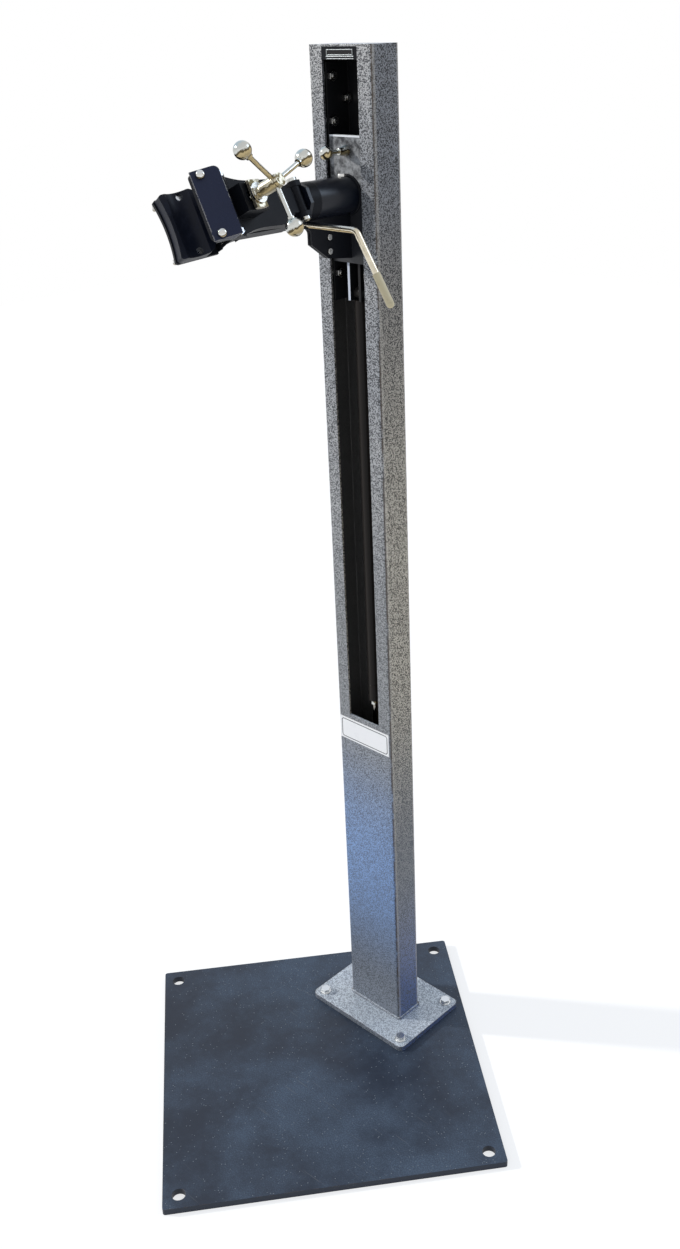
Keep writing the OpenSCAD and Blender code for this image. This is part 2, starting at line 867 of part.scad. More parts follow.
module plunger_spring() {
    color("#9a9a9a") at_column() translate([0, 0, plunger_h]) difference() {
        rod_y(spring_d, front_y + front_plate_t / 2 + plunger_seat_gap, plunger_collar_y - plunger_seat_gap);
        rod_y(spring_bore, front_y, plunger_collar_y);
    }
}

module plunger_pin() {
    color("#c9cbcc") at_column() translate([0, 0, plunger_h]) {
        rod_y(plunger_shaft_d, front_y - plunger_ball_f, plunger_collar_y);
        rod_y(plunger_collar_d, plunger_collar_y, plunger_collar_y + plunger_collar_t);
        rod_y(plunger_d, plunger_collar_y, column_d / 2 - seat_gap - plunger_travel);
    }
}

module plunger_knob() {
    color("#d6cfae") at_column() translate([0, front_y - plunger_ball_f, plunger_h]) difference() {
        sphere(d = plunger_ball_d);
        rod_y(plunger_shaft_d, 0, plunger_ball_d);
    }
}

// Clamp head: spindle, flange and hinge block
module head_spindle() {
    color("#2a2b2d") at_head() difference() {
        rod_y(spindle_d, -flange_start, front_plate_t + ring_t);
        translate([0, -stop_screw_f - spindle_groove_w / 2, 0]) difference() {
            rod_y(spindle_d + over, 0, spindle_groove_w);
            rod_y(spindle_d - 2 * spindle_groove_depth, -over, spindle_groove_w + over);
        }
    }
}

module head_flange() {
    color("#17181a") at_head() rotate([0, 22.5, 0]) rotate([90, 0, 0]) translate([0, 0, flange_start])
        cylinder(d = flange_disc_flat / cos(22.5), h = flange_disc_t, $fn = 8);
}

module spindle_ring() {
    color("#b4b6b8") at_head() difference() {
        rod_y(ring_d, front_plate_t + seat_gap, front_plate_t + ring_t);
        rod_y(spindle_d, front_plate_t, front_plate_t + ring_t + over);
    }
}

module jaw_root() {
    near_s = hinge_s + hinge_boss_r;
    color("#17181a") at_head() difference() {
        union() {
            block([root_far_s, root_back_s], [-root_f0 - root_back_t, -root_f0], [-root_half, root_half]);
            block([root_far_s, root_far_s + root_wall_t], [-root_f1, -root_f0], [-root_half, root_half]);
            for (z = [-root_half, root_half - root_lug_t]) {
                block([root_far_s, hinge_s], [-root_f1, -root_f0], [z, z + root_lug_t]);
                block([root_far_s, near_s], [-hinge_f, -root_f0], [z, z + root_lug_t]);
                translate([hinge_s, -hinge_f, z]) cylinder(r = hinge_boss_r, h = root_lug_t);
            }
        }
        translate([hinge_s, -hinge_f, 0])
            rod_z(hinge_pin_d + 2 * fit_gap, -root_half - over, root_half + over);
    }
}

// Outline of an arm in Y and Z: tapered at the hinge end, straight, then swept out to the jaw in an arc
module arm_outline(y_rear, rear_half, y_taper, y_waist, y_front, half, jaw) {
    run = y_waist - y_front;
    sweep = (run * run + (jaw - half) * (jaw - half)) / (2 * (jaw - half));
    polygon([[y_rear, -rear_half], [y_rear, rear_half], [y_taper, half], [y_waist, half],
             [y_waist, -half], [y_taper, -half]]);
    difference() {
        translate([y_front, -jaw]) square([run, 2 * jaw]);
        for (side = [-1, 1]) translate([y_waist, side * (half + sweep)]) circle(r = sweep, $fn = 96);
    }
}

module fixed_arm_outline(inset, extra) {
    arm_outline(-root_f1 + extra, fixed_half - inset, -root_f1, -fixed_waist_f, -fixed_end_f,
                fixed_half - inset, fixed_jaw_half - inset);
}

module fixed_arm() {
    color("#1f2024") at_head() difference() {
        union() {
            along_x(fixed_web_s, fixed_web_s + arm_wall) {
                fixed_arm_outline(0, 0);
                translate([-fixed_web_end_f, -fixed_half])
                    square([fixed_web_end_f - fixed_end_f, 2 * fixed_half]);
            }
            along_x(fixed_web_s, fixed_web_s + fixed_depth) difference() {
                fixed_arm_outline(0, 0);
                fixed_arm_outline(arm_wall, over);
            }
            block([fixed_web_s, fixed_web_s + fixed_depth], [-fixed_end_f, -fixed_end_f + arm_wall / 2],
                  [-fixed_jaw_half, fixed_jaw_half]);
        }
        fixed_jaw_place() block([-pad_t - jaw_t, 2 * jaw_half], [-2 * pad_len, jaw_rear],
                                [-2 * jaw_half, 2 * jaw_half]);
        translate([nut_s, -nut_f, 0]) rod_z(nut_pin_d + 2 * run_gap, -jaw_half - over, jaw_half + over);
        translate([0, -screw_f, 0]) rotate([0, 0, arm_open])
            rod_x(screw_d + 2 * screw_hole_gap, -screw_tail, 0);
    }
}

module cross_nut() {
    color("#b8ad86") at_head() difference() {
        translate([nut_s, -nut_f, 0]) {
            rod_z(2 * nut_r, -nut_half + nut_gap, nut_half - nut_gap);
            rod_z(nut_pin_d, -nut_pin_half, nut_pin_half);
        }
        translate([0, -screw_f, 0]) rotate([0, 0, arm_open])
            rod_x(screw_d + 2 * run_gap, nut_s - 2 * nut_r, nut_s + 2 * nut_r);
    }
}

module hinge_pin() {
    color("#c4b98f") at_head() translate([hinge_s, -hinge_f, 0]) {
        rod_z(hinge_pin_d, -root_half - hinge_head_t / 2, root_half);
        rod_z(hinge_head_d, root_half, root_half + hinge_head_t);
        rod_z(hinge_head_d, -root_half - hinge_head_t, -root_half);
    }
}

// Jaw plate and pad, drawn with the pad's face at X = 0 and the plate on its -X side
module jaw_plate_form(t, front) {
    difference() {
        block([-t - jaw_t, -t], [-front, jaw_rear], [-jaw_half, jaw_half]);
        for (side = [-1, 1])
            along_x(-t - jaw_t - over, -t + over) corner_cut(-front, side * jaw_half, 1, side, jaw_corner_r);
    }
}

// What lies outside the arc of a rounded corner at Y = y and Z = z; the plate lies towards y_in and -z_side
module corner_cut(y, z, y_in, z_side, r) {
    translate([y + y_in * r / 2 - y_in * over / 2, z - z_side * r / 2 + z_side * over / 2]) difference() {
        square([r + over, r + over], center = true);
        translate([y_in * (r + over) / 2, -z_side * (r + over) / 2]) circle(r = r);
    }
}

module pad_form(t, len, hollow) {
    hollow_w = len * pad_hollow_share;
    hollow_r = (hollow_w * hollow_w / 4 + hollow * hollow) / (2 * hollow);
    difference() {
        block([-t, 0], [-len, 0], [-jaw_half, jaw_half]);
        translate([hollow_r - hollow, -len / 2, -jaw_half - over])
            cylinder(r = hollow_r, h = 2 * jaw_half + 2 * over, $fn = 96);
    }
}

// The shallow arc that is scooped out of the front edge of the fixed jaw
module front_scoop(edge) {
    scoop_r = (jaw_half * jaw_half + pad_scoop * pad_scoop) / (2 * pad_scoop);
    translate([0, -edge + pad_scoop - scoop_r, 0])
        rod_x(2 * scoop_r, -pad_t - jaw_t - over, over, $fn = 180);
}

module fixed_jaw() {
    color("#17181a") at_fixed_jaw() difference() {
        jaw_plate_form(pad_t, pad_len + jaw_front);
        front_scoop(pad_len + jaw_front);
        pad_bolt_places([fixed_bolt_rear, fixed_bolt_front])
            rod_x(jaw_bolt_d + 2 * fit_gap, -pad_t - jaw_t - over, -pad_t + over);
    }
}

module fixed_pad() {
    color("#2b2e36") at_fixed_jaw() bolted_pad();
}

// A pad with recesses for the heads of its bolts
module bolted_pad() {
    difference() {
        pad_form(pad_t, pad_len, pad_hollow);
        front_scoop(pad_len);
        for (side = [-1, 1]) along_x(-pad_t - over, over) {
            corner_cut(0, side * jaw_half, -1, side, pad_corner_r);
            corner_cut(-pad_len, side * jaw_half, 1, side, jaw_corner_r);
        }
        pad_bolt_places([fixed_bolt_rear]) {
            rod_x(jaw_bolt_d + 2 * fit_gap, -pad_t - over, -pad_t + pad_recess_wall + over);
            rod_x(pad_recess_d, -pad_t + pad_recess_wall, over);
        }
    }
}

module pad_bolt_places(rows) {
    for (row = rows, z = [-pad_bolt_t, pad_bolt_t]) translate([0, -row, z]) children();
}

// The rear bolts have their heads in the pad's recesses, and the front ones are studs behind the rubber
module fixed_jaw_bolts() {
    color("#d8d2bc") at_fixed_jaw() {
        pad_bolt_places([fixed_bolt_rear]) {
            rod_x(jaw_bolt_d, -pad_t, -pad_t + pad_recess_wall);
            rod_x(pad_recess_d - 2 * fit_gap, -pad_t + pad_recess_wall,
                  -pad_t + pad_recess_wall + pad_screw_head_t);
        }
        pad_bolt_places([fixed_bolt_rear, fixed_bolt_front]) {
            rod_x(jaw_bolt_d, -pad_t - jaw_t - jaw_nut_t - nut_tip, -pad_t);
            hex_x(jaw_bolt_d * hex_flat_share, -pad_t - jaw_t - jaw_nut_t, -pad_t - jaw_t);
        }
    }
}

// Moving arm
module moving_arm_outline(inset, extra) {
    arm_outline(moving_rear + extra, moving_rear_half - inset, moving_rear - moving_taper, moving_waist,
                -moving_front - extra, moving_half - inset, jaw_half - inset);
}

module moving_arm() {
    color("#1f2024") at_swing() difference() {
        union() {
            along_x(web_a, web_a + arm_wall) moving_arm_outline(0, 0);
            along_x(web_a + arm_wall - moving_depth, web_a + arm_wall) difference() {
                moving_arm_outline(0, 0);
                moving_arm_outline(arm_wall, over);
            }
            translate([swing_a, swing_d, 0]) rod_z(2 * knuckle_r, -knuckle_half, knuckle_half);
            block([web_a + arm_wall - link_thin, web_a + arm_wall], [moving_rear - over, swing_d],
                  [-knuckle_half, knuckle_half]);
            block([web_a, block_top], [-block_front, block_back], [-block_half, block_half]);
            difference() {
                translate([0, 0, -jaw_half]) linear_extrude(2 * jaw_half)
                    polygon([[web_a, -ramp_back], [web_a + arm_wall, -ramp_back], [ramp_a, -ramp_front],
                             [ramp_a - arm_wall, -moving_pad_y], [web_a, -moving_pad_y + seat_gap]]);
                moving_jaw_place()
                    block([moving_pad_t, block_top], [-pad_len, pad_len], [-2 * jaw_half, 2 * jaw_half]);
            }
        }
        block([web_a - over, block_top + over], [-screw_slot_front, screw_slot_back],
              [-screw_slot_half, screw_slot_half]);
        moving_jaw_place() {
            block([-pad_len, moving_pad_t], [-pad_len, 0], [-2 * jaw_half, 2 * jaw_half]);
            block([moving_pad_t, moving_pad_t + 2 * jaw_t], [-pad_len, jaw_rear],
                  [-2 * jaw_half, 2 * jaw_half]);
        }
        translate([swing_a, swing_d, 0]) rod_z(hinge_pin_d + 2 * run_gap, -root_half, root_half);
    }
}

module moving_jaw() {
    color("#17181a") at_swing() moving_jaw_place() difference() {
        mirror([1, 0, 0]) jaw_plate_form(moving_pad_t, moving_jaw_front);
        moving_bolt_places()
            rod_x(jaw_bolt_d + 2 * fit_gap, moving_pad_t - over, moving_pad_t + jaw_t + over);
        cover_bolt_places() rod_x(cover_bolt_d + 2 * fit_gap, -cover_rise, over);
    }
}

module moving_bolt_places() {
    for (z = [-jaw_bolt_t, jaw_bolt_t]) translate([0, moving_bolt_fore, z]) children();
}

module moving_pad() {
    color("#2b2e36") at_swing() moving_jaw_place() mirror([1, 0, 0])
        pad_form(moving_pad_t, moving_pad_len, moving_hollow);
}

// Wedge-shaped cover on the back of the moving jaw
module jaw_cover() {
    base = moving_pad_t + jaw_t;
    color("#3a4055") at_swing() moving_jaw_place() difference() {
        translate([0, 0, -cover_half]) linear_extrude(2 * cover_half)
            polygon([[base, -cover_rear], [base + cover_rise, -cover_rear],
                     [base + cover_nose, -cover_rear - cover_len], [base, -cover_rear - cover_len]]);
        along_x(base - over, base + cover_rise + over)
            corner_cut(-cover_rear, cover_half, -1, 1, cover_corner_r);
        cover_bolt_places() rod_x(cover_bolt_d + 2 * fit_gap, -cover_rise, over);
    }
}

// Places on the cover's sloping face, with X along its normal
module cover_bolt_places() {
    for (z = [-jaw_bolt_t, jaw_bolt_t])
        translate([moving_pad_t + jaw_t + cover_rise, -cover_rear, z]) rotate([0, 0, -cover_slope])
            translate([0, -cover_bolt_run, 0]) children();
}

module moving_jaw_bolts() {
    base = moving_pad_t + jaw_t;
    color("#d8d2bc") at_swing() moving_jaw_place() {
        moving_bolt_places() {
            rod_x(jaw_bolt_d, moving_pad_t, base);
            hex_x(jaw_bolt_d * hex_flat_share, base, base + jaw_bolt_d * hex_head_share);
        }
        cover_bolt_places() {
            rod_x(cover_bolt_d, -cover_bolt_len, 0);
            hex_x(cover_bolt_d * hex_flat_share, 0, cover_bolt_d * hex_head_share);
        }
    }
}

// Thrust parts: a rocker with a round underside, and two washers
module rocker_block() {
    color("#c9be94") at_swing() difference() {
        intersection() {
            block([rocker_a - over, rocker_a + rocker_t], [-rocker_half_f, rocker_half_f],
                  [-block_half, block_half]);
            translate([rocker_a + rocker_r, 0, 0]) rod_z(2 * rocker_r, -block_half, block_half);
        }
        rod_x(screw_d + 2 * run_gap, rocker_a - over, rocker_a + rocker_t + over);
    }
}

module thrust_washers() {
    color("#d9d9d6") at_swing() difference() {
        union() {
            rod_x(washer_d, washer_a, washer_a + thrust_t);
            rod_x(small_washer_d, washer_a + thrust_t, washer_end);
        }
        rod_x(screw_d + 2 * run_gap, washer_a - over, washer_end + over);
    }
}

// Screw and three-ball handle
module clamp_screw() {
    color("#c4b98f") at_swing() rod_x(screw_d, -screw_tail, hub_reach + hub_front);
}

module handle_hub() {
    color("#cfc49a") at_swing() difference() {
        union() {
            rod_x(screw_d + 2 * hub_neck, washer_end + seat_gap, hub_start);
            rod_x(hub_d, hub_start, hub_end);
            rod_x(2 * hub_cap_r, hub_end, hub_end + hub_cap_t);
        }
        rod_x(screw_d, washer_a, hub_reach + hub_front);
        spoke_places() rod_z(spoke_d, 0, hub_d);
    }
}

module spoke_places() {
    for (i = [0:2])
        translate([hub_reach, 0, 0])
            rotate([spoke_phase + i * 120, 0, 0]) rotate([0, spoke_tilt, 0]) children();
}

module handle_spokes() {
    color("#cfc49a") at_swing() spoke_places() rod_z(spoke_d, spoke_inner, ball_circle_r * spoke_end_share);
}

module handle_balls() {
    color("#dcd6be") at_swing() spoke_places() difference() {
        union() {
            translate([0, 0, ball_circle_r / cos(spoke_tilt)]) sphere(d = ball_d);
            rod_z(ball_neck_d, ball_circle_r - ball_d / 2 - over, ball_circle_r);
        }
        rod_z(spoke_d, spoke_inner, ball_circle_r * spoke_end_share);
    }
}

base_plate();
column_flange();
flange_bolts();
column_tube();
top_cap();
top_stop();
tag_plate();
anchor_lugs();
anchor_pin();
gas_rod();
gas_piston();
carriage_channel();
front_plate();
eye_lugs();
eye_bolt();
gas_cylinder();
rod_guide();
arm_tube();
split_collar();
gusset_plates();
gusset_screws();
lever_boss();
stop_screw();
roller_bolts();
roller_nuts();
roller_spacers();
side_glides();
plunger_housing();
plunger_spring();
plunger_pin();
plunger_knob();
roller_pair(-1, front_top_up);  // front_rollers_top
roller_pair(-1, front_upper_up);  // front_rollers_upper
roller_pair(-1, front_low_up);  // front_rollers_low
roller_pair(1, rear_upper_up);  // rear_rollers_upper
roller_pair(1, rear_low_up);  // rear_rollers_low
lock_lever();
lever_grip();
head_spindle();
head_flange();
spindle_ring();
jaw_root();
fixed_arm();
cross_nut();
fixed_jaw();
fixed_pad();
fixed_jaw_bolts();
hinge_pin();
moving_arm();
moving_jaw();
moving_pad();
jaw_cover();
moving_jaw_bolts();
rocker_block();
thrust_washers();
clamp_screw();
handle_hub();
handle_spokes();
handle_balls();
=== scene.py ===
# %% [markdown]
# Bicycle repair station: the looks
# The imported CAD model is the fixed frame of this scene. It brings every solid of the stand at its real size,
# in metres, with the floor at Z = 0 and the column's front facing -Y. This lesson gives the solids their
# finishes, adds the small things that a lathe or a welder leaves behind, and sets up the camera and the light.

# %% Load the frame
import math

import bmesh
import bpy
from mathutils import Matrix, Vector, noise
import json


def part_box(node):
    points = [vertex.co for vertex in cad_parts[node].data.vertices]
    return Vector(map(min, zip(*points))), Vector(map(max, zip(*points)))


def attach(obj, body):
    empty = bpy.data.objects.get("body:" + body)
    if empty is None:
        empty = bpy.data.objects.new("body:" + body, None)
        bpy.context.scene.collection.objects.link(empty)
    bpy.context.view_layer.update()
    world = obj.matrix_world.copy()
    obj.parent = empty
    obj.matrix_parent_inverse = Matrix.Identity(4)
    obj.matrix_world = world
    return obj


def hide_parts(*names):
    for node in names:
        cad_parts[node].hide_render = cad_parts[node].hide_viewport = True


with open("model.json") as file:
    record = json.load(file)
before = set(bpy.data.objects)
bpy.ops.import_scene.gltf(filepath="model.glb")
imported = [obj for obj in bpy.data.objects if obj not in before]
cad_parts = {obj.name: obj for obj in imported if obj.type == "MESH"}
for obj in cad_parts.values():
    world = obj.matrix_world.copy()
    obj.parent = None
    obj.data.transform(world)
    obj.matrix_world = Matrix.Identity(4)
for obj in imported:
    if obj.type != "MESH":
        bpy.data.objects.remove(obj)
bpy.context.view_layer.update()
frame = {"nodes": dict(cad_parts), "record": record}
nodes = frame["nodes"]
print("CAD nodes:", len(nodes))

# %% [markdown]
# The camera
# The photograph was taken from the front right, a little above the stand's top, with a normal lens. The place
# and the direction come from a camera match: the corners of the column, the flange and the base plate were
# lined up with the picture. The rows below are the camera's right, down and forward directions. The lens
# follows from the focal length in pixels of the 680 x 1249 picture, and a small shift puts the picture's
# centre where it was in the photograph.

# %% Camera at the photograph's angle
IMAGE_W, IMAGE_H = 680, 1249
FOCAL_PX = 1285.2
CENTRE_PX = (386.4, 593.2)
SENSOR_MM = 36.0
camera_place = Vector((1.41407, -1.27786, 1.84807))
camera_right = Vector((0.73570364, 0.67679274, -0.02630083))
camera_down = Vector((0.25990915, -0.31796546, -0.91178133))
camera_forward = Vector((-0.62544975, 0.66396502, -0.40983297))
camera_data = bpy.data.cameras.new("Camera")
camera_data.sensor_fit = "AUTO"
camera_data.sensor_width = SENSOR_MM
camera_data.lens = FOCAL_PX * SENSOR_MM / IMAGE_H
camera_data.shift_x = (IMAGE_W / 2 - CENTRE_PX[0]) / IMAGE_H
camera_data.shift_y = (CENTRE_PX[1] - IMAGE_H / 2) / IMAGE_H
camera = bpy.data.objects.new("Camera", camera_data)
turn = Matrix((camera_right, -camera_down, -camera_forward)).transposed().to_4x4()
camera.matrix_world = Matrix.Translation(camera_place) @ turn
bpy.context.scene.collection.objects.link(camera)
bpy.context.scene.camera = camera
bpy.context.scene.view_settings.view_transform = "Standard"
print("lens", round(camera_data.lens, 2), "shift", round(camera_data.shift_x, 4), round(camera_data.shift_y, 4))

# %% [markdown]
# Shorthand for shader nodes
# Every shader below is built from a few kinds of nodes. These helpers make a node and fill its sockets in one
# line. A socket can take a number, an RGB colour or the output of another node, and feed() sorts that out.

# %% Helpers: nodes and their sockets
def feed(tree, socket, value):
    """Links a socket to another one, or sets its number, vector or RGB colour."""
    if isinstance(value, bpy.types.NodeSocket):
        tree.links.new(value, socket)
    elif socket.type == "RGBA":
        socket.default_value = (*value, 1)
    else:
        socket.default_value = value


def fill(tree, node, **inputs):
    """Feeds sockets by name: Base_Color stands for the socket Base Color."""
    for label, value in inputs.items():
        feed(tree, node.inputs[label.replace("_", " ")], value)


def new_node(tree, kind, **inputs):
    node = tree.nodes.new("ShaderNode" + kind)
    fill(tree, node, **inputs)
    return node


def math_node(tree, operation, *values, clamp=False):
    node = new_node(tree, "Math")
    node.operation = operation
    node.use_clamp = clamp
    for socket, value in zip(node.inputs, values):
        feed(tree, socket, value)
    return node.outputs[0]


def product(tree, first, *others):
    for other in others:
        first = math_node(tree, "MULTIPLY", first, other)
    return first


print("helpers: feed, fill, new_node, math_node, product")

# %% [markdown]
# Light, floor and background
# In the photograph a low sun comes from the left of the column's front, and the open sky fills the shadows.
# A sun lamp with a wide disc gives the same modelling in a softer, studio-like way. One pale blue area lamp,
# behind the stand and to its right, stands for the sky there and draws long highlights on the round parts. The
# world is an even, pale blue light; the camera and mirror-like metal see it as white, so that the background is
# white without any extra light on the stand.

# %% Lamps
def add_lamp(name, kind, place, direction, energy, colour):
    data = bpy.data.lights.new(name, kind)
    data.energy = energy
    data.color = colour
    lamp = bpy.data.objects.new(name, data)
    lamp.location = place
    lamp.rotation_euler = Vector(direction).to_track_quat("-Z", "Y").to_euler()
    bpy.context.scene.collection.objects.link(lamp)
    return data


sun = add_lamp("Key sun", "SUN", (0, 0, 0), (0.74, 0.50, -0.45), energy=2.4, colour=(1.0, 0.97, 0.93))
sun.angle = math.radians(2.5)
sky_place, sky_target = Vector((1.35, 1.85, 3.05)), Vector((0.0, 0.1, 1.4))
sky = add_lamp("Sky behind", "AREA", sky_place, sky_target - sky_place, energy=12, colour=(0.62, 0.78, 1.0))
sky.shape = "RECTANGLE"
sky.size, sky.size_y = 0.7, 1.2

# %% World: pale blue light, white to the camera and in reflections
def camera_or_mirror(tree):
    """1 for rays that come from the camera or from a shiny surface."""
    path = new_node(tree, "LightPath")
    return math_node(tree, "MAXIMUM", path.outputs["Is Camera Ray"], path.outputs["Is Glossy Ray"])


def mix_shaders(tree, share, first, second, output_kind):
    mix = new_node(tree, "MixShader", Fac=share)
    tree.links.new(first.outputs[0], mix.inputs[1])
    tree.links.new(second.outputs[0], mix.inputs[2])
    new_node(tree, output_kind, Surface=mix.outputs[0])


world = bpy.data.worlds.new("Studio")
bpy.context.scene.world = world
world.use_nodes = True
world.node_tree.nodes.clear()
light = new_node(world.node_tree, "Background", Color=(0.80, 0.88, 1.0), Strength=0.56)
white = new_node(world.node_tree, "Background", Color=(1, 1, 1), Strength=1.0)
mix_shaders(world.node_tree, camera_or_mirror(world.node_tree), light, white, "OutputWorld")
print("world light:", light.inputs["Strength"].default_value)

# %% Floor: half of it glows, so that only a soft shadow is left on the white
FLOOR_SIZE, FLOOR_DROP, GLOW_SHARE = 14, 0.0005, 0.5
bpy.ops.mesh.primitive_plane_add(size=FLOOR_SIZE, location=(0, 0, -FLOOR_DROP))
floor = bpy.context.object
floor.name = "Floor"
floor_mat = bpy.data.materials.new("Pale floor")
floor_mat.use_nodes = True
tree = floor_mat.node_tree
tree.nodes.clear()
pale = new_node(tree, "BsdfDiffuse", Color=(0.80, 0.80, 0.80))
glow = new_node(tree, "Emission", Color=(1, 1, 1), Strength=1.4)
mix_shaders(tree, product(tree, camera_or_mirror(tree), GLOW_SHARE), pale, glow, "OutputMaterial")
floor.data.materials.append(floor_mat)
print("floor:", FLOOR_SIZE, "m wide")

# %% [markdown]
# Effects that several finishes share
# Each effect is a shader node group with its own inputs, so that one recipe serves many materials with
# different numbers. All of them read object coordinates in metres: a scale of 100 is a pattern of one
# centimetre. They put out masks and heights, and each material decides what a mask does to its colour.

# %% Helper: a new group with its sockets
def new_group(name, inputs, outputs):
    """Returns the group, what comes into it, what goes out of it, and its texture coordinates."""
    group = bpy.data.node_groups.new(name, "ShaderNodeTree")
    for label, value in inputs.items():
        socket = group.interface.new_socket(name=label, in_out="INPUT", socket_type="NodeSocketFloat")
        socket.default_value = value
    for label in outputs:
        group.interface.new_socket(name=label, in_out="OUTPUT", socket_type="NodeSocketFloat")
    into = group.nodes.new("NodeGroupInput")
    out = group.nodes.new("NodeGroupOutput")
    print("new group:", group.name)
    return group, into.outputs, out.inputs, new_node(group, "TexCoord").outputs


print("node groups before the first effect:", len(bpy.data.node_groups))

# %% [markdown]
# Hammered paint
# The column wears a silver "hammer" paint. While it dries it pulls itself into small puddles of a millimetre
# or two, some light and some dark, with winding rims between them. Each Voronoi cell gives one puddle a random
# tone, and a fine noise, cut near its middle, gives the rims. The two are added and cut once more, so that the
# share that is dark stays a single number.

# %% Helpers: noise and ramps
def inverse(tree, value):
    return math_node(tree, "SUBTRACT", 1.0, value)


def noise_node(tree, vector, scale, detail=3.0, roughness=0.55, distortion=0.0):
    node = new_node(tree, "TexNoise", Vector=vector, Scale=scale, Detail=detail, Roughness=roughness,
                    Distortion=distortion)
    return node.outputs["Fac"]


def ramp_node(tree, value, low, high):
    """0 below low, 1 above high, and a smooth step between."""
    node = new_node(tree, "MapRange", Value=value, From_Min=low, From_Max=high)
    node.interpolation_type = "SMOOTHSTEP"
    return node.outputs["Result"]


print("helpers: inverse, noise_node, ramp_node")

# %% Group: hammered grain
TONE_SPREAD, CUT_WIDTH = 0.34, 0.07
hammered, given, result, at = new_group("Hammered grain", {"Scale": 400.0, "Rim share": 0.48}, ["Rim", "Height"])
winding = noise_node(hammered, at["Object"], given["Scale"], detail=1.0, roughness=0.4, distortion=0.5)
cells = new_node(hammered, "TexVoronoi", Vector=at["Object"], Scale=given["Scale"])
tones = new_node(hammered, "SeparateColor", Color=cells.outputs["Color"])
tone = math_node(hammered, "MULTIPLY", math_node(hammered, "SUBTRACT", tones.outputs[0], 0.5), TONE_SPREAD)
cut_from = math_node(hammered, "SUBTRACT", given["Rim share"], CUT_WIDTH)
cut_to = math_node(hammered, "ADD", given["Rim share"], CUT_WIDTH)
puddle = ramp_node(hammered, math_node(hammered, "ADD", winding, tone), cut_from, cut_to)
feed(hammered, result["Rim"], inverse(hammered, puddle))
feed(hammered, result["Height"], puddle)

# %% [markdown]
# Worn edges
# Paint is thinnest on a sharp edge, and that is where bare steel shows first. The Bevel node tells how much
# the surface bends within a small radius: its rounded normal and the true normal point the same way on a
# flat, and apart at an edge. Noise breaks the line, so that the wear comes in patches.

# %% Helpers: how far the surface bends
BEVEL_SAMPLES = 6


def dot_node(tree, first, second):
    node = new_node(tree, "VectorMath")
    node.operation = "DOT_PRODUCT"
    tree.links.new(first, node.inputs[0])
    tree.links.new(second, node.inputs[1])
    return node.outputs["Value"]


def bevel_node(tree, radius):
    node = new_node(tree, "Bevel", Radius=radius)
    node.samples = BEVEL_SAMPLES
    return node.outputs["Normal"]


print("a bevel looks", BEVEL_SAMPLES, "times for an edge")

# %% Group: worn edges
WEAR_RADIUS = 0.0012
worn, given, result, at = new_group("Worn edges", {"Amount": 0.5, "Patch scale": 60.0}, ["Mask"])
true_normal = new_node(worn, "NewGeometry").outputs["Normal"]
bent = inverse(worn, dot_node(worn, bevel_node(worn, WEAR_RADIUS), true_normal))
line = ramp_node(worn, bent, 0.02, 0.16)
patches = noise_node(worn, at["Object"], given["Patch scale"], detail=5.0, roughness=0.65)
bound = math_node(worn, "MULTIPLY_ADD", inverse(worn, given["Amount"]), 0.45, 0.27)
patch = math_node(worn, "GREATER_THAN", patches, bound)
feed(worn, result["Mask"], math_node(worn, "MULTIPLY", line, patch, clamp=True))

# %% [markdown]
# Dust and scuffs
# A stand that is used outdoors collects grit on what faces up, in clouds and single specks, and shoes and
# tyres leave short pale scuffs. Dust is a cloud of noise times how much the surface faces up. Scuffs are
# noise stretched into streaks, cut down to a few by a second, broader noise.

# %% Group: dust
SPECK_SCALE, SPECK_SIZE, SPECK_RARITY = 210.0, 0.17, 0.80
dust, given, result, at = new_group("Dust", {"Amount": 0.5, "Cloud scale": 9.0}, ["Mask", "Specks"])
up = ramp_node(dust, new_node(dust, "SeparateXYZ", Vector=at["Normal"]).outputs["Z"], 0.1, 0.95)
clouds = noise_node(dust, at["Object"], given["Cloud scale"], detail=8.0, roughness=0.68)
clouds = ramp_node(dust, clouds, 0.36, 0.72)
fine = ramp_node(dust, noise_node(dust, at["Object"], 420.0, roughness=0.6), 0.42, 0.70)
settled = product(dust, clouds, math_node(dust, "MULTIPLY_ADD", fine, 0.6, 0.4), up)
feed(dust, result["Mask"], math_node(dust, "MULTIPLY", settled, given["Amount"], clamp=True))
spots = new_node(dust, "TexVoronoi", Vector=at["Object"], Scale=SPECK_SCALE)
dot = math_node(dust, "LESS_THAN", spots.outputs["Distance"], SPECK_SIZE)
pick = new_node(dust, "SeparateColor", Color=spots.outputs["Color"])
some = math_node(dust, "GREATER_THAN", pick.outputs[0], SPECK_RARITY)
feed(dust, result["Specks"], product(dust, dot, some, up))

# %% Group: scuffs
scuffs, given, result, at = new_group("Scuffs", {"Amount": 0.4, "Length scale": 14.0}, ["Mask"])
streaks = []
for angle, stretch in ((0.5, 26.0), (-0.9, 34.0)):
    turned = new_node(scuffs, "Mapping", Vector=at["Object"], Rotation=(0.3, angle, angle * 1.7),
                      Scale=(1.0, stretch, stretch))
    streak = noise_node(scuffs, turned.outputs[0], given["Length scale"], detail=2.0)
    streaks.append(ramp_node(scuffs, streak, 0.66, 0.74))
where = ramp_node(scuffs, noise_node(scuffs, at["Object"], 6.0), 0.48, 0.66)
kept = product(scuffs, math_node(scuffs, "MAXIMUM", *streaks), where)
feed(scuffs, result["Mask"], math_node(scuffs, "MULTIPLY", kept, given["Amount"], clamp=True))
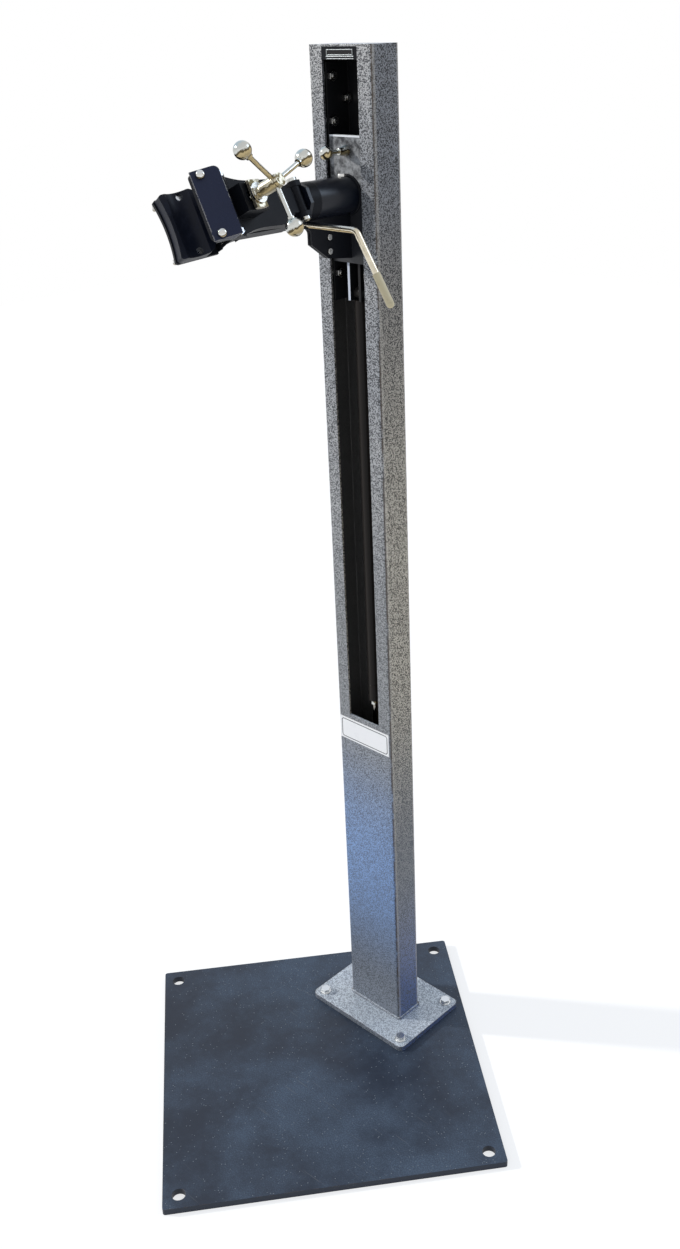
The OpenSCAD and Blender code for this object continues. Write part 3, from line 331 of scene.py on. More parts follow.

# %% [markdown]
# Where a face points
# This group compares the normal with one direction. Mask picks the faces that look that way, and Slope goes
# smoothly from -1 to 1. The materials use it to paint light and shade by the way a face points: painted
# light on the column's top faces and painted shade on its sides, a painted highlight on one lug, and the
# painted sky and ground reflection on the zinc.

# %% Group: faces that look one way
facing, given, result, at = new_group("Faces one way", {"X": 0.0, "Y": 0.0, "Z": 1.0}, ["Mask", "Slope"])
way = new_node(facing, "CombineXYZ", X=given["X"], Y=given["Y"], Z=given["Z"])
slope = dot_node(facing, at["Normal"], way.outputs[0])
feed(facing, result["Mask"], ramp_node(facing, slope, 0.86, 0.96))
feed(facing, result["Slope"], slope)

# %% [markdown]
# Building a material
# Every finish starts from one Principled shader. The helpers place a shared group in the material with its own
# values, mix colours by a mask, and end in a bump whose normal is rounded at the edges by a Bevel node, as
# every machined or painted edge is. In the cells below, t is a material's node tree, sh is its Principled
# shader, and co are its object coordinates.

# %% Helpers for materials
def new_finish(name, colour, metallic, roughness, shine=0.5):
    mat = bpy.data.materials.new(name)
    mat.use_nodes = True
    t = mat.node_tree
    sh = t.nodes["Principled BSDF"]
    fill(t, sh, Base_Color=colour, Metallic=metallic, Roughness=roughness, Specular_IOR_Level=shine)
    return mat, t, sh, new_node(t, "TexCoord").outputs["Object"]


def place_group(t, group, **values):
    node = new_node(t, "Group")
    node.node_tree = group
    fill(t, node, **values)
    return node.outputs


def place_of(t, co):
    return new_node(t, "SeparateXYZ", Vector=co).outputs


def mix_colour(t, mask, below, above):
    node = new_node(t, "Mix")
    node.data_type = "RGBA"
    for i, value in ((0, mask), (6, below), (7, above)):
        feed(t, node.inputs[i], value)
    return node.outputs[2]


def mix_value(t, mask, below, above):
    node = new_node(t, "Mix")
    node.data_type = "FLOAT"
    for i, value in ((0, mask), (2, below), (3, above)):
        feed(t, node.inputs[i], value)
    return node.outputs[0]


def layered(t, colour, *layers):
    """Lays each (mask, colour) over what is there already."""
    for mask, above in layers:
        colour = mix_colour(t, mask, colour, above)
    return colour


def finish_normal(t, sh, height, depth, edge=0.0009):
    """Bump by a height in metres, on a normal that is rounded at the edges."""
    bump = new_node(t, "Bump", Strength=1.0, Distance=depth, Height=height, Normal=bevel_node(t, edge))
    t.links.new(bump.outputs["Normal"], sh.inputs["Normal"])


print("shared groups:", [group.name for group in bpy.data.node_groups])

# %% [markdown]
# Silver hammered paint on the column and the flange
# The paint is aluminium flake in a clear binder: part mirror, mostly grey. The rims between the puddles are
# dark. The tints on top of that are painted light and shade. They follow the height and the way a face
# points: the front is lightest in its upper half and has painted shade, darker and blue, below the sign; the
# sides are painted darker than the front as painted shade, with a warmer, lighter band in their middle and
# painted blue shade at the foot; and everything that faces up is painted pale, a painted sky light. The masks
# below name those places, by heights in metres.

# %% Masks for the column's paint
def band(t, value, rise_from, rise_to, fall_from, fall_to):
    """A mask that rises, stays at 1 for a while and falls again."""
    return product(t, ramp_node(t, value, rise_from, rise_to), inverse(t, ramp_node(t, value, fall_from, fall_to)))


GRAIN_SCALE, DARK_SHARE = 520.0, 0.49
hammer_mat, t, sh, co = new_finish("Hammered silver paint", (0.5, 0.5, 0.5), metallic=0.25, roughness=0.42)
grain = place_group(t, hammered, Scale=GRAIN_SCALE, Rim_share=DARK_SHARE)
place = place_of(t, co)
height = place["Z"]
mottled = ramp_node(t, noise_node(t, co, 3.2, detail=4.0), 0.3, 0.7)
# The side faces get painted shade: they are painted darker than the front.
sideways = place_group(t, facing, X=1.0, Y=0.0, Z=0.0)["Slope"]
shaded_side = ramp_node(t, math_node(t, "ABSOLUTE", sideways), 0.75, 0.95)
# The faces that point up get a painted sky light: they are painted pale.
painted_top_light = place_group(t, facing, X=0.0, Y=0.0, Z=1.0)["Mask"]
# Painted shade by height: low down, in a band below the sign and at the sides' foot, darker and bluer.
foot = inverse(t, ramp_node(t, height, 0.06, 0.38))
low_painted_shade = inverse(t, ramp_node(t, height, 0.30, 0.80))
upper_half = ramp_node(t, height, 0.80, 1.30)
top_part = ramp_node(t, height, 1.42, 1.66)
blue = band(t, height, 0.08, 0.32, 0.38, 0.66)
warm = band(t, height, 0.30, 0.70, 1.00, 1.60)
print("hammer paint: a grain of about", round(1000 / GRAIN_SCALE, 1), "mm")

# %% Material: hammered silver
# Front: lightest in its upper half, with painted shade, darker and blue, lower down.
front_ground = mix_colour(t, mottled, (0.36, 0.375, 0.40), (0.50, 0.50, 0.50))
front_ground = mix_colour(t, upper_half, (0.34, 0.35, 0.36), front_ground)
front_ground = layered(t, front_ground, (low_painted_shade, (0.25, 0.28, 0.33)), (blue, (0.235, 0.375, 0.66)))
# Sides: painted shade, with a warmer, lighter middle band and painted blue shade at the foot.
side_ground = mix_colour(t, top_part, (0.225, 0.211, 0.196), (0.212, 0.219, 0.236))
side_ground = layered(t, side_ground, (warm, (0.56, 0.51, 0.42)), (low_painted_shade, (0.24, 0.245, 0.25)),
                      (foot, (0.13, 0.19, 0.42)))
ground = mix_colour(t, shaded_side, front_ground, side_ground)
# Rims: lighter in the front's painted shade low down, darker in the sides' painted shade.
front_rims = mix_colour(t, upper_half, (0.125, 0.130, 0.138), (0.066, 0.069, 0.076))
side_rims = mix_colour(t, warm, (0.030, 0.030, 0.031), (0.085, 0.075, 0.060))
front_blue_shade = product(t, blue, inverse(t, shaded_side))
rims = layered(t, mix_colour(t, shaded_side, front_rims, side_rims), (low_painted_shade, (0.105, 0.12, 0.145)),
               (front_blue_shade, (0.135, 0.185, 0.29)))
# Painted sky light: the puddles and the rims of every face that points up are painted pale and bluish.
ground = mix_colour(t, painted_top_light, ground, (0.66, 0.73, 0.80))
rims = mix_colour(t, painted_top_light, rims, (0.30, 0.34, 0.40))
grime = place_group(t, dust, Amount=0.35, Cloud_scale=14.0)["Mask"]
edges = place_group(t, worn, Amount=0.85, Patch_scale=35.0)["Mask"]
rusty = product(t, edges, math_node(t, "LESS_THAN", height, 0.040))
coloured = layered(t, mix_colour(t, grain["Rim"], ground, rims), (grime, (0.46, 0.47, 0.48)),
                   (rusty, (0.15, 0.105, 0.075)))
print("hammer paint:", len(t.nodes), "nodes before the corners")

# %% [markdown]
# The column's corners, and its dark inside
# The tube is bent from plate, and its long corners are rubbed: a brown line runs down each one. On the side
# faces a paler line runs next to it, a painted highlight on the rounded corner. The inside is painted nearly
# black: its steel is dark, and the rest is painted shade in the slot. The masks start from how far a point is
# from the tube's middle, in X and in Y.

# %% Corners and inside
LINE_FROM, LINE_TO = 0.0036, 0.0016
PALE_FROM, PALE_TO, PALE_SHARE = 0.0080, 0.0050, 0.30
INNER_WALL, OUTER_SKIN, MARGIN = 0.0035, 0.0012, 0.0003
BOTTOM_END, TOP_END = 0.002, 0.001
tube_low, tube_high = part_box("column_tube")
column_centre = ((tube_low[0] + tube_high[0]) / 2, (tube_low[1] + tube_high[1]) / 2)
half_w, half_d = (tube_high[0] - tube_low[0]) / 2, (tube_high[1] - tube_low[1]) / 2
across, deep = (math_node(t, "ABSOLUTE", math_node(t, "SUBTRACT", place[axis], middle))
                for axis, middle in zip("XY", column_centre))


def within(most_across, most_deep):
    return product(t, math_node(t, "LESS_THAN", across, most_across), math_node(t, "LESS_THAN", deep, most_deep))


tube_only = within(half_w + MARGIN, half_d + MARGIN)
patchy = ramp_node(t, noise_node(t, co, 34.0, detail=4.0), 0.30, 0.52)
on_corner = product(t, ramp_node(t, across, half_w - LINE_FROM, half_w - LINE_TO),
                    ramp_node(t, deep, half_d - LINE_FROM, half_d - LINE_TO), patchy, tube_only)
# Painted highlight: a paler line on the side faces, next to each corner.
corner_highlight = product(t, ramp_node(t, deep, half_d - PALE_FROM, half_d - PALE_TO),
                 math_node(t, "GREATER_THAN", across, half_w - OUTER_SKIN), tube_only, PALE_SHARE)
# Painted shade in the slot: the inside, dark itself, is painted nearly black and not metallic.
inside = product(t, within(half_w - INNER_WALL, half_d - INNER_WALL),
                 math_node(t, "GREATER_THAN", height, tube_low[2] + BOTTOM_END),
                 math_node(t, "LESS_THAN", height, tube_high[2] - TOP_END))
coloured = layered(t, coloured, (corner_highlight, (0.62, 0.57, 0.50)), (on_corner, (0.10, 0.075, 0.055)),
                   (inside, (0.060, 0.057, 0.053)))
fill(t, sh, Base_Color=coloured, Metallic=mix_value(t, inside, 0.25, 0.0),
     Roughness=mix_value(t, grain["Rim"], 0.36, 0.62))
finish_normal(t, sh, grain["Height"], 0.00030)
print("column", round(2000 * half_w), "x", round(2000 * half_d), "mm")

# %% [markdown]
# Black coated floor plate
# The plate is matt black, dulled by grit. Dust, pale specks and a few scuffs take the mask outputs of the
# shared groups. The dust also makes the surface rougher, so that the sheen breaks up where it lies.

# %% Material: dusty black plate
plate_mat, t, sh, co = new_finish("Dusty black plate", (0.02, 0.021, 0.024), metallic=0.0, roughness=0.5,
                                  shine=0.35)
grime = place_group(t, dust, Amount=0.95, Cloud_scale=4.2)
marks = place_group(t, scuffs, Amount=0.35, Length_scale=9.0)["Mask"]
wear = place_group(t, worn, Amount=0.45, Patch_scale=50.0)["Mask"]
coloured = mix_colour(t, grime["Mask"], (0.014, 0.022, 0.040), (0.100, 0.145, 0.212))
coloured = layered(t, coloured, (grime["Specks"], (0.20, 0.23, 0.26)), (marks, (0.14, 0.145, 0.15)),
                   (wear, (0.11, 0.085, 0.07)))
fill(t, sh, Base_Color=coloured, Roughness=mix_value(t, grime["Mask"], 0.42, 0.85))
finish_normal(t, sh, noise_node(t, co, 900.0), 0.00010)
print("made:", plate_mat.name)

# %% [markdown]
# Black powder coat
# Powder is baked to a half-gloss skin with a faint orange peel, and it chips at the edges of plates that
# meet bicycles every day. The chips show steel, so the mask also raises Metallic. On one pair of lugs the
# face towards the front gets a painted highlight, on the left lug only.

# %% Material: black powder coat
def powder_coat(name, colour, gloss, wear_amount, peel, peel_depth, dusty, shine=0.20,
                chip=(0.10, 0.10, 0.10), highlight_until=None):
    mat, t, sh, co = new_finish(name, colour, metallic=0.0, roughness=gloss, shine=shine)
    wear = place_group(t, worn, Amount=wear_amount, Patch_scale=70.0)["Mask"]
    marks = place_group(t, scuffs, Amount=0.30, Length_scale=40.0)["Mask"]
    grime = place_group(t, dust, Amount=dusty, Cloud_scale=22.0)["Mask"]
    pale = tuple(min(1.0, c * 2.4 + 0.03) for c in colour)
    coloured = mix_colour(t, marks, colour, pale)
    coloured = layered(t, coloured, (grime, (0.10, 0.095, 0.088)), (wear, chip))
    # Painted highlight: the face towards the front, left of the given X, is painted pale blue-grey.
    if highlight_until is not None:
        to_the_front = place_group(t, facing, X=0.0, Y=-1.0, Z=0.0)["Mask"]
        on_left = math_node(t, "LESS_THAN", place_of(t, co)["X"], highlight_until)
        coloured = mix_colour(t, product(t, to_the_front, on_left), coloured, (0.62, 0.66, 0.74))
    rough = mix_value(t, noise_node(t, co, 30.0), gloss - 0.06, gloss + 0.08)
    fill(t, sh, Base_Color=coloured, Metallic=mix_value(t, wear, 0.0, 0.5),
         Roughness=mix_value(t, grime, rough, 0.8))
    finish_normal(t, sh, noise_node(t, co, peel, detail=2.0), peel_depth)
    return mat


black_mat = powder_coat("Black powder coat", (0.008, 0.009, 0.012), gloss=0.42, wear_amount=0.30, peel=420.0,
                        peel_depth=0.00010, dusty=0.16, shine=0.10, chip=(0.05, 0.05, 0.05))
print("made:", black_mat.name)

# %% The other powder coats
lugs_low, lugs_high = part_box("eye_lugs")
tube_mat = powder_coat("Gloss black arm tube", (0.006, 0.008, 0.014), gloss=0.30, wear_amount=0.20, peel=260.0,
                       peel_depth=0.00005, dusty=0.10, shine=0.30)
cover_mat = powder_coat("Blue-black textured coat", (0.011, 0.017, 0.046), gloss=0.42, wear_amount=0.64,
                        peel=330.0, peel_depth=0.00080, dusty=0.10, shine=0.24, chip=(0.50, 0.48, 0.44))
cylinder_mat = powder_coat("Gloss black lacquer", (0.024, 0.021, 0.019), gloss=0.16, wear_amount=0.10,
                           peel=120.0, peel_depth=0.00002, dusty=0.10, shine=0.08)
inside_mat = powder_coat("Black inner steel", (0.009, 0.009, 0.010), gloss=0.40, wear_amount=0.12, peel=300.0,
                         peel_depth=0.00008, dusty=0.25)
lug_mat = powder_coat("Lugs with a painted highlight", (0.010, 0.010, 0.011), gloss=0.38, wear_amount=0.20, peel=300.0,
                      peel_depth=0.00008, dusty=0.20, highlight_until=(lugs_low[0] + lugs_high[0]) / 2)
print("powder coats:", [m.name for m in (tube_mat, cover_mat, cylinder_mat, inside_mat, lug_mat)])

# %% [markdown]
# Scratched front plate
# Above the arm, the plate is rubbed by hands and bicycles. It has turned a cloudy grey there, with short
# scratches in every direction, and its top edge carries a painted highlight. Below the arm the coat is still black.

# %% Material: scratched front plate
RUB_FROM, RUB_TO, TOP_HIGHLIGHT = 0.105, 0.060, 0.0024
plate_low, plate_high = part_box("front_plate")
front_mat, t, sh, co = new_finish("Scratched front plate", (0.05, 0.05, 0.055), metallic=0.0, roughness=0.45,
                                  shine=0.35)
height = place_of(t, co)["Z"]
above_arm = ramp_node(t, height, plate_high[2] - RUB_FROM, plate_high[2] - RUB_TO)
rubbed = product(t, ramp_node(t, noise_node(t, co, 42.0, detail=7.0, roughness=0.70), 0.36, 0.64), above_arm)
scratched = product(t, place_group(t, scuffs, Amount=0.90, Length_scale=48.0)["Mask"], above_arm)
wear = product(t, place_group(t, worn, Amount=0.55, Patch_scale=80.0)["Mask"], above_arm)
# Painted highlight: a thin band along the top edge is painted near white.
top_edge_highlight = math_node(t, "GREATER_THAN", height, plate_high[2] - TOP_HIGHLIGHT)
coloured = mix_colour(t, rubbed, (0.026, 0.027, 0.031), (0.39, 0.40, 0.41))
coloured = layered(t, coloured, (scratched, (0.42, 0.43, 0.44)), (wear, (0.60, 0.60, 0.58)),
                   (top_edge_highlight, (0.86, 0.88, 0.90)))
fill(t, sh, Base_Color=coloured, Roughness=mix_value(t, rubbed, 0.34, 0.62))
finish_normal(t, sh, noise_node(t, co, 420.0, detail=2.0), 0.00010)
print("made:", front_mat.name)

# %% [markdown]
# Zinc plating
# The handle, the lever and all the fasteners are zinc plated and passivated. A colour ramp along Slope, the
# soft output of the group Faces one way, paints a reflection into the colour: the faces that point up get a
# painted sky, bright silver and blue; the faces that point down get a painted ground in the straw-brown of
# the passivated zinc; and a dark line where the two meet is a painted horizon. Noise is added to make the line
# ragged. The object's own normals are used, so the painted reflection turns with the handle. The same recipe,
# with other colours, serves the plain steel of bearings, spindle and piston rod.

# %% Material: zinc
DIRT = (0.13, 0.11, 0.08)
EDGE_HIGHLIGHT = (0.95, 0.94, 0.90)
ZINC_EDGE, RAGGED, DIRT_SHARE = 0.0006, 0.9, 0.5


def zinc(name, steel, straw, painted_sky, gloss, marks_scale, depth, painted_edge_highlights=False, lean_x=-0.30, shift=0.0):
    mat, t, sh, co = new_finish(name, steel, metallic=1.0, roughness=gloss)
    # Slope, tilted a little to the front and to one side, puts the painted sky above and the painted ground below.
    slope = place_group(t, facing, X=lean_x, Y=-0.25, Z=0.90)["Slope"]
    uneven = math_node(t, "SUBTRACT", noise_node(t, co, 90.0, roughness=0.6, distortion=0.8), 0.5 - shift)
    line = math_node(t, "ADD", slope, math_node(t, "MULTIPLY", uneven, RAGGED))
    layers = new_node(t, "ValToRGB", Fac=math_node(t, "MULTIPLY_ADD", line, 0.5, 0.5))
    layers.color_ramp.interpolation = "EASE"
    # Painted reflection: ground at the bottom, a dark painted horizon, then a bright painted sky at the top.
    painted_horizon = tuple(c * 0.30 for c in straw)
    rich = tuple(c * 1.4 for c in straw)
    bright = tuple(min(0.95, c * 1.25) for c in steel)
    pale = tuple((a + 2 * b) / 3 for a, b in zip(straw, steel))
    stops = ((0.0, pale), (0.22, straw), (0.38, rich), (0.44, painted_horizon), (0.49, painted_horizon), (0.56, bright),
             (0.76, steel), (0.92, painted_sky))
    elements = layers.color_ramp.elements
    for i, (share, colour) in enumerate(stops):
        stop = elements[i] if i < 2 else elements.new(share)  # a new ramp has two stops already
        stop.position = share
        stop.color = (*colour, 1)
    dirt = ramp_node(t, noise_node(t, co, 130.0, detail=5.0, roughness=0.7), 0.56, 0.78)
    coloured = mix_colour(t, product(t, dirt, DIRT_SHARE), layers.outputs["Color"], DIRT)
    # Painted highlight: the edges are painted near white, as if they caught the light.
    if painted_edge_highlights:
        wear = place_group(t, worn, Amount=1.0, Patch_scale=60.0)["Mask"]
        coloured = mix_colour(t, wear, coloured, EDGE_HIGHLIGHT)
    fill(t, sh, Base_Color=coloured, Roughness=mix_value(t, dirt, gloss, gloss + 0.25))
    finish_normal(t, sh, noise_node(t, co, marks_scale), depth, ZINC_EDGE)
    return mat


zinc_mat = zinc("Straw zinc plating", (0.50, 0.51, 0.49), (0.33, 0.265, 0.145), (0.38, 0.48, 0.54),
                gloss=0.15, marks_scale=700.0, depth=0.00002)
print("made:", zinc_mat.name)

# %% The other zinc and steel finishes: colours of the steel, the straw underside with its painted ground, and the painted sky on top
lever_mat = zinc("Straw zinc on the lever", (0.58, 0.53, 0.42), (0.34, 0.255, 0.12), (0.50, 0.54, 0.56),
                 gloss=0.18, marks_scale=700.0, depth=0.00002, shift=0.03)
hub_mat = zinc("Straw zinc hub", (0.47, 0.44, 0.35), (0.36, 0.285, 0.15), (0.39, 0.42, 0.39),
               gloss=0.30, marks_scale=700.0, depth=0.00002, shift=-0.08)
dome_mat = zinc("Domed zinc heads", (0.60, 0.60, 0.58), (0.30, 0.24, 0.15), (0.52, 0.56, 0.60),
                gloss=0.16, marks_scale=700.0, depth=0.00002, lean_x=0.10)
bolt_mat = zinc("Bright zinc fasteners", (0.58, 0.58, 0.57), (0.30, 0.26, 0.19), (0.62, 0.67, 0.74),
                gloss=0.22, marks_scale=900.0, depth=0.00005, painted_edge_highlights=True, lean_x=0.35)
# Painted shade: the nuts in the slot are a darkened copy of the zinc.
nut_mat = zinc("Shaded zinc nuts", (0.13, 0.13, 0.13), (0.07, 0.065, 0.06), (0.08, 0.08, 0.10),
               gloss=0.30, marks_scale=900.0, depth=0.00005, painted_edge_highlights=True, lean_x=0.35)
bearing_mat = zinc("Bearing steel", (0.62, 0.63, 0.65), (0.40, 0.40, 0.40), (0.50, 0.52, 0.56),
                   gloss=0.18, marks_scale=1200.0, depth=0.00002)
spindle_mat = zinc("Turned steel", (0.42, 0.42, 0.43), (0.30, 0.28, 0.26), (0.33, 0.33, 0.35),
                   gloss=0.32, marks_scale=1500.0, depth=0.00004)
# Painted shade: the piston rod is darkened as it looks in the slot's shade.
rod_mat = zinc("Chrome rod in painted shade", (0.26, 0.245, 0.22), (0.16, 0.145, 0.12), (0.22, 0.22, 0.23),
               gloss=0.12, marks_scale=300.0, depth=0.00001)
rim_mat = zinc("Brushed rim metal", (0.27, 0.29, 0.30), (0.22, 0.23, 0.23), (0.22, 0.24, 0.26),
               gloss=0.40, marks_scale=1400.0, depth=0.00006)
print("materials so far:", len(bpy.data.materials))

# %% [markdown]
# Plastics and rubber
# The sleeve on the lever is a cream plastic, a little dirty where hands hold it. The jaw pads are black
# rubber; their faint blue sheen is painted into the colour, as a blue tint and paler blue patches. The sign
# under the slot is a bare white plate, and the glides are nylon.

# %% Materials: plastics and rubber
def moulded(name, colour, dirt_and_sheen_colour, gloss, grain_scale, depth, dirt_and_sheen_share, shine=0.5):
    mat, t, sh, co = new_finish(name, colour, metallic=0.0, roughness=gloss, shine=shine)
    dirt = ramp_node(t, noise_node(t, co, 60.0, detail=6.0, roughness=0.7), 0.50, 0.74)
    # The patches are dirt, and on the pads a painted blue sheen.
    fill(t, sh, Base_Color=mix_colour(t, product(t, dirt, dirt_and_sheen_share), colour, dirt_and_sheen_colour),
         Roughness=mix_value(t, dirt, gloss, min(1.0, gloss + 0.2)))
    finish_normal(t, sh, noise_node(t, co, grain_scale), depth)
    return mat


grip_mat = moulded("Cream sleeve", (0.72, 0.61, 0.38), (0.42, 0.34, 0.19), gloss=0.45, grain_scale=600.0,
                   depth=0.00008, dirt_and_sheen_share=0.6)
# Painted sheen: the pad's colour is tinted blue, and its patches are a paler blue.
pad_mat = moulded("Black pad rubber", (0.007, 0.009, 0.017), (0.018, 0.022, 0.038), gloss=0.40,
                  grain_scale=500.0, depth=0.00006, dirt_and_sheen_share=0.6, shine=0.16)
tag_mat = moulded("White tag", (0.88, 0.88, 0.88), (0.72, 0.72, 0.73), gloss=0.35, grain_scale=200.0,
                  depth=0.00002, dirt_and_sheen_share=0.3)
nylon_mat = moulded("Natural nylon", (0.74, 0.72, 0.65), (0.40, 0.38, 0.33), gloss=0.50, grain_scale=400.0,
                    depth=0.00004, dirt_and_sheen_share=0.5)
print("materials so far:", len(bpy.data.materials))

# %% [markdown]
# Which solid wears what
# The CAD record names a material slot for each solid, and the slot decides the finish. A few solids differ
# from their slot's finish and are listed by name.

# %% Give each CAD solid its finish
finish_of = {
    "black_plate": plate_mat, "column_grey": hammer_mat, "black_coat": black_mat, "cover_black": cover_mat,
    "zinc": zinc_mat, "rod_chrome": rod_mat, "cylinder_black": cylinder_mat, "bearing_steel": bearing_mat,
    "spindle_steel": spindle_mat, "spring_steel": spindle_mat, "tag_white": tag_mat, "glide_nylon": nylon_mat,
    "grip_cream": grip_mat, "pad_rubber": pad_mat,
}
special = {
    "carriage_channel": inside_mat, "eye_lugs": lug_mat, "front_plate": front_mat, "roller_nuts": nut_mat,
    "arm_tube": tube_mat, "head_flange": tube_mat, "lock_lever": lever_mat, "handle_hub": hub_mat,
    "rocker_block": hub_mat, "thrust_washers": dome_mat, "flange_bolts": bolt_mat, "fixed_jaw_bolts": bolt_mat,
    "moving_jaw_bolts": bolt_mat, "gusset_screws": bolt_mat, "stop_screw": bolt_mat, "roller_bolts": bolt_mat,
    "roller_spacers": bolt_mat,
}
slot_of = {s["node"]: s["material_slot"] for s in frame["record"]["subparts"]}
for name, node in nodes.items():
    for slot in node.material_slots:
        slot.material = special.get(name, finish_of[slot_of[name]])
print("finishes given to", len(nodes), "solids,", len(special), "of them by name")

# %% [markdown]
# Shorthand for meshes
# The pieces that follow are skins over rows of points. A row is often a circle in the plane of two
# directions, and skin() puts a quad between each point and its neighbour in the next row.

# %% Helpers: meshes
def angles(count):
    return [2 * math.pi * k / count for k in range(count)]


def circle(mesh, centre, u, v, radius, count):
    return [mesh.verts.new(centre + (u * math.cos(a) + v * math.sin(a)) * radius) for a in angles(count)]


def skin(mesh, rows, closed=True):
    """Quads between each row and the next; closed rows also join their last point to their first."""
    count = len(rows[0])
    for row, after in zip(rows, rows[1:]):
        for k in range(count if closed else count - 1):
            following = (k + 1) % count
            mesh.faces.new((row[k], after[k], after[following], row[following]))


def add_piece(name, mesh, material, body, slot, *replaced):
    bmesh.ops.recalc_face_normals(mesh, faces=mesh.faces)
    data = bpy.data.meshes.new(name)
    mesh.to_mesh(data)
    mesh.free()
    data.shade_smooth()
    data.materials.append(material)
    piece = bpy.data.objects.new(name, data)
    bpy.context.scene.collection.objects.link(piece)
    if replaced:
        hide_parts(*replaced)
    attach(piece, body)
    print(name, "has", len(data.polygons), "faces and rides", body)
    return piece


print("helpers: angles, circle, skin, add_piece")

# %% [markdown]
# Weld beads
# Where the column stands on its flange, and where the arm tube leaves the front plate, the steel is welded all
# round. A weld is a row of small overlapping puddles. Here it is a ring of circles that follows the seam, with
# a radius that swells and shrinks a little at every puddle, and a little noise on top. It is made point by
# point, because a bevelled curve would come out perfectly even.

# %% Helper: a bead along a closed seam
BEAD_POINTS, SWELL, LIFT, RIPPLE = 10, 0.10, 0.12, 300.0


def bead(name, seam, radius, puddle, material, body, slot):
    """seam: closed list of (point, outward, up) in metres; puddle: the length of one puddle along it."""
    mesh = bmesh.new()
    rings = []
    travelled = 0.0
    for i, (point, outward, up) in enumerate(seam):
        if i:
            travelled += (point - seam[i - 1][0]).length
        swell = 1.0 + SWELL * (abs(math.sin(math.pi * travelled / puddle)) + noise.noise(point * RIPPLE))
        middle = point + (outward + up) * radius * LIFT
        rings.append(circle(mesh, middle, outward, up, radius * swell, BEAD_POINTS))
    skin(mesh, rings + [rings[0]])
    add_piece(name, mesh, material, body, slot)


print("a bead has", BEAD_POINTS, "points round its seam")

# %% The seam at the column's foot
TUBE_CORNER, RING_STEP = 0.006, 0.0009


def round_corners(half_x, half_y, corner, steps=8):
    """Once round a rectangle: (x, y, angle) of the points on its four rounded corners."""
    points = []
    for side_x, side_y, start in ((1, -1, -90), (1, 1, 0), (-1, 1, 90), (-1, -1, 180)):
        for k in range(steps + 1):
            a = math.radians(start + 90 * k / steps)
            points.append((side_x * (half_x - corner) + corner * math.cos(a),
                           side_y * (half_y - corner) + corner * math.sin(a), a))
    return points


def rounded_seam(centre, half_x, half_y, corner, z, step):
    """Points round a rectangle with rounded corners, with their outward directions."""
    arcs = [(Vector((centre[0] + x, centre[1] + y, z)), Vector((math.cos(a), math.sin(a), 0)))
            for x, y, a in round_corners(half_x, half_y, corner)]
    seam = []
    for (point, outward), (following, _) in zip(arcs, arcs[1:] + arcs[:1]):
        count = max(1, int((following - point).length / step))
        for k in range(count):
            seam.append((point.lerp(following, k / count), outward, Vector((0, 0, 1))))
    return seam


foot_seam = rounded_seam(column_centre, half_w, half_d, TUBE_CORNER, tube_low[2], RING_STEP)
print("seam at the column's foot:", len(foot_seam), "points")

# %% The two beads
ARM_RINGS = 220
bead("column_foot_weld", foot_seam, 0.0030, 0.0034, hammer_mat, "column", "column_grey")
arm_low, arm_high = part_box("arm_tube")
arm_centre = Vector(((arm_low[0] + arm_high[0]) / 2, plate_low[1], (arm_low[2] + arm_high[2]) / 2))
arm_r = (arm_high[0] - arm_low[0]) / 2
arm_seam = []
for a in angles(ARM_RINGS):
    outward = Vector((math.cos(a), 0, math.sin(a)))
    arm_seam.append((arm_centre + outward * arm_r, outward, Vector((0, -1, 0))))
bead("arm_tube_weld", arm_seam, 0.0026, 0.0036, black_mat, "carriage", "black_coat")

# %% [markdown]
# Clamp screw
# The CAD model has a plain rod in place of the screw. The real one is cut with a thread of 3 mm pitch, and its
# crests catch the light. The thread is a surface of revolution that also climbs by one pitch per turn: each
# point of a trapezoid profile is placed round the axis and moved along it in step with its angle.

# %% The screw with its thread
CREST_R, ROOT_R, PITCH, SEGMENTS = 0.00595, 0.0050, 0.003, 28
END_SHARE, END_SEGMENTS = 0.93, 36
profile = [(0.0, ROOT_R), (0.25, ROOT_R), (0.42, CREST_R), (0.80, CREST_R)]
handle = next(j for j in frame["record"]["behaviour"]["joints"] if j["name"] == "handle_spin")
origin, along = Vector(handle["pos_m"]), Vector(handle["axis"]).normalized()
thread_side = along.cross(Vector((0, 0, 1))).normalized()
thread_up = along.cross(thread_side)
reach = [(v.co - origin).dot(along) for v in nodes["clamp_screw"].data.vertices]
near, far = min(reach), max(reach)
turns = (far - near) / PITCH
screw = bmesh.new()
rows = []
for step in range(int(turns * SEGMENTS) + 1):
    a = 2 * math.pi * step / SEGMENTS
    spoke = thread_side * math.cos(a) + thread_up * math.sin(a)
    climb = [(near + PITCH * (step / SEGMENTS + share - 1.0), r) for share, r in profile]
    rows.append([screw.verts.new(origin + along * min(max(travel, near), far) + spoke * r) for travel, r in climb])
skin(screw, rows, closed=False)
for i in range(len(rows) - 1 - SEGMENTS):
    screw.faces.new((rows[i][3], rows[i + 1][3], rows[i + SEGMENTS + 1][0], rows[i + SEGMENTS][0]))
for end in (near, far):
    screw.faces.new(circle(screw, origin + along * end, thread_side, thread_up, CREST_R * END_SHARE, END_SEGMENTS))
add_piece("threaded_clamp_screw", screw, zinc_mat, "handle", "zinc", "clamp_screw")
print("screw from", round(near, 4), "to", round(far, 4), "turns:", round(turns, 1))

# %% [markdown]
# Border of the sign
# The white sign under the slot is printed with a thin dark border that has round corners. Nothing is written
# inside it. The border is a flat band, a seventh of a millimetre proud of the plate.

# %% Sign border
PROUD, SUNK = 0.00014, -0.0003
OUTER, INNER = (0.0034, 0.0052), (0.0047, 0.0039)
sign_low, sign_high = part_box("tag_plate")
border = bmesh.new()


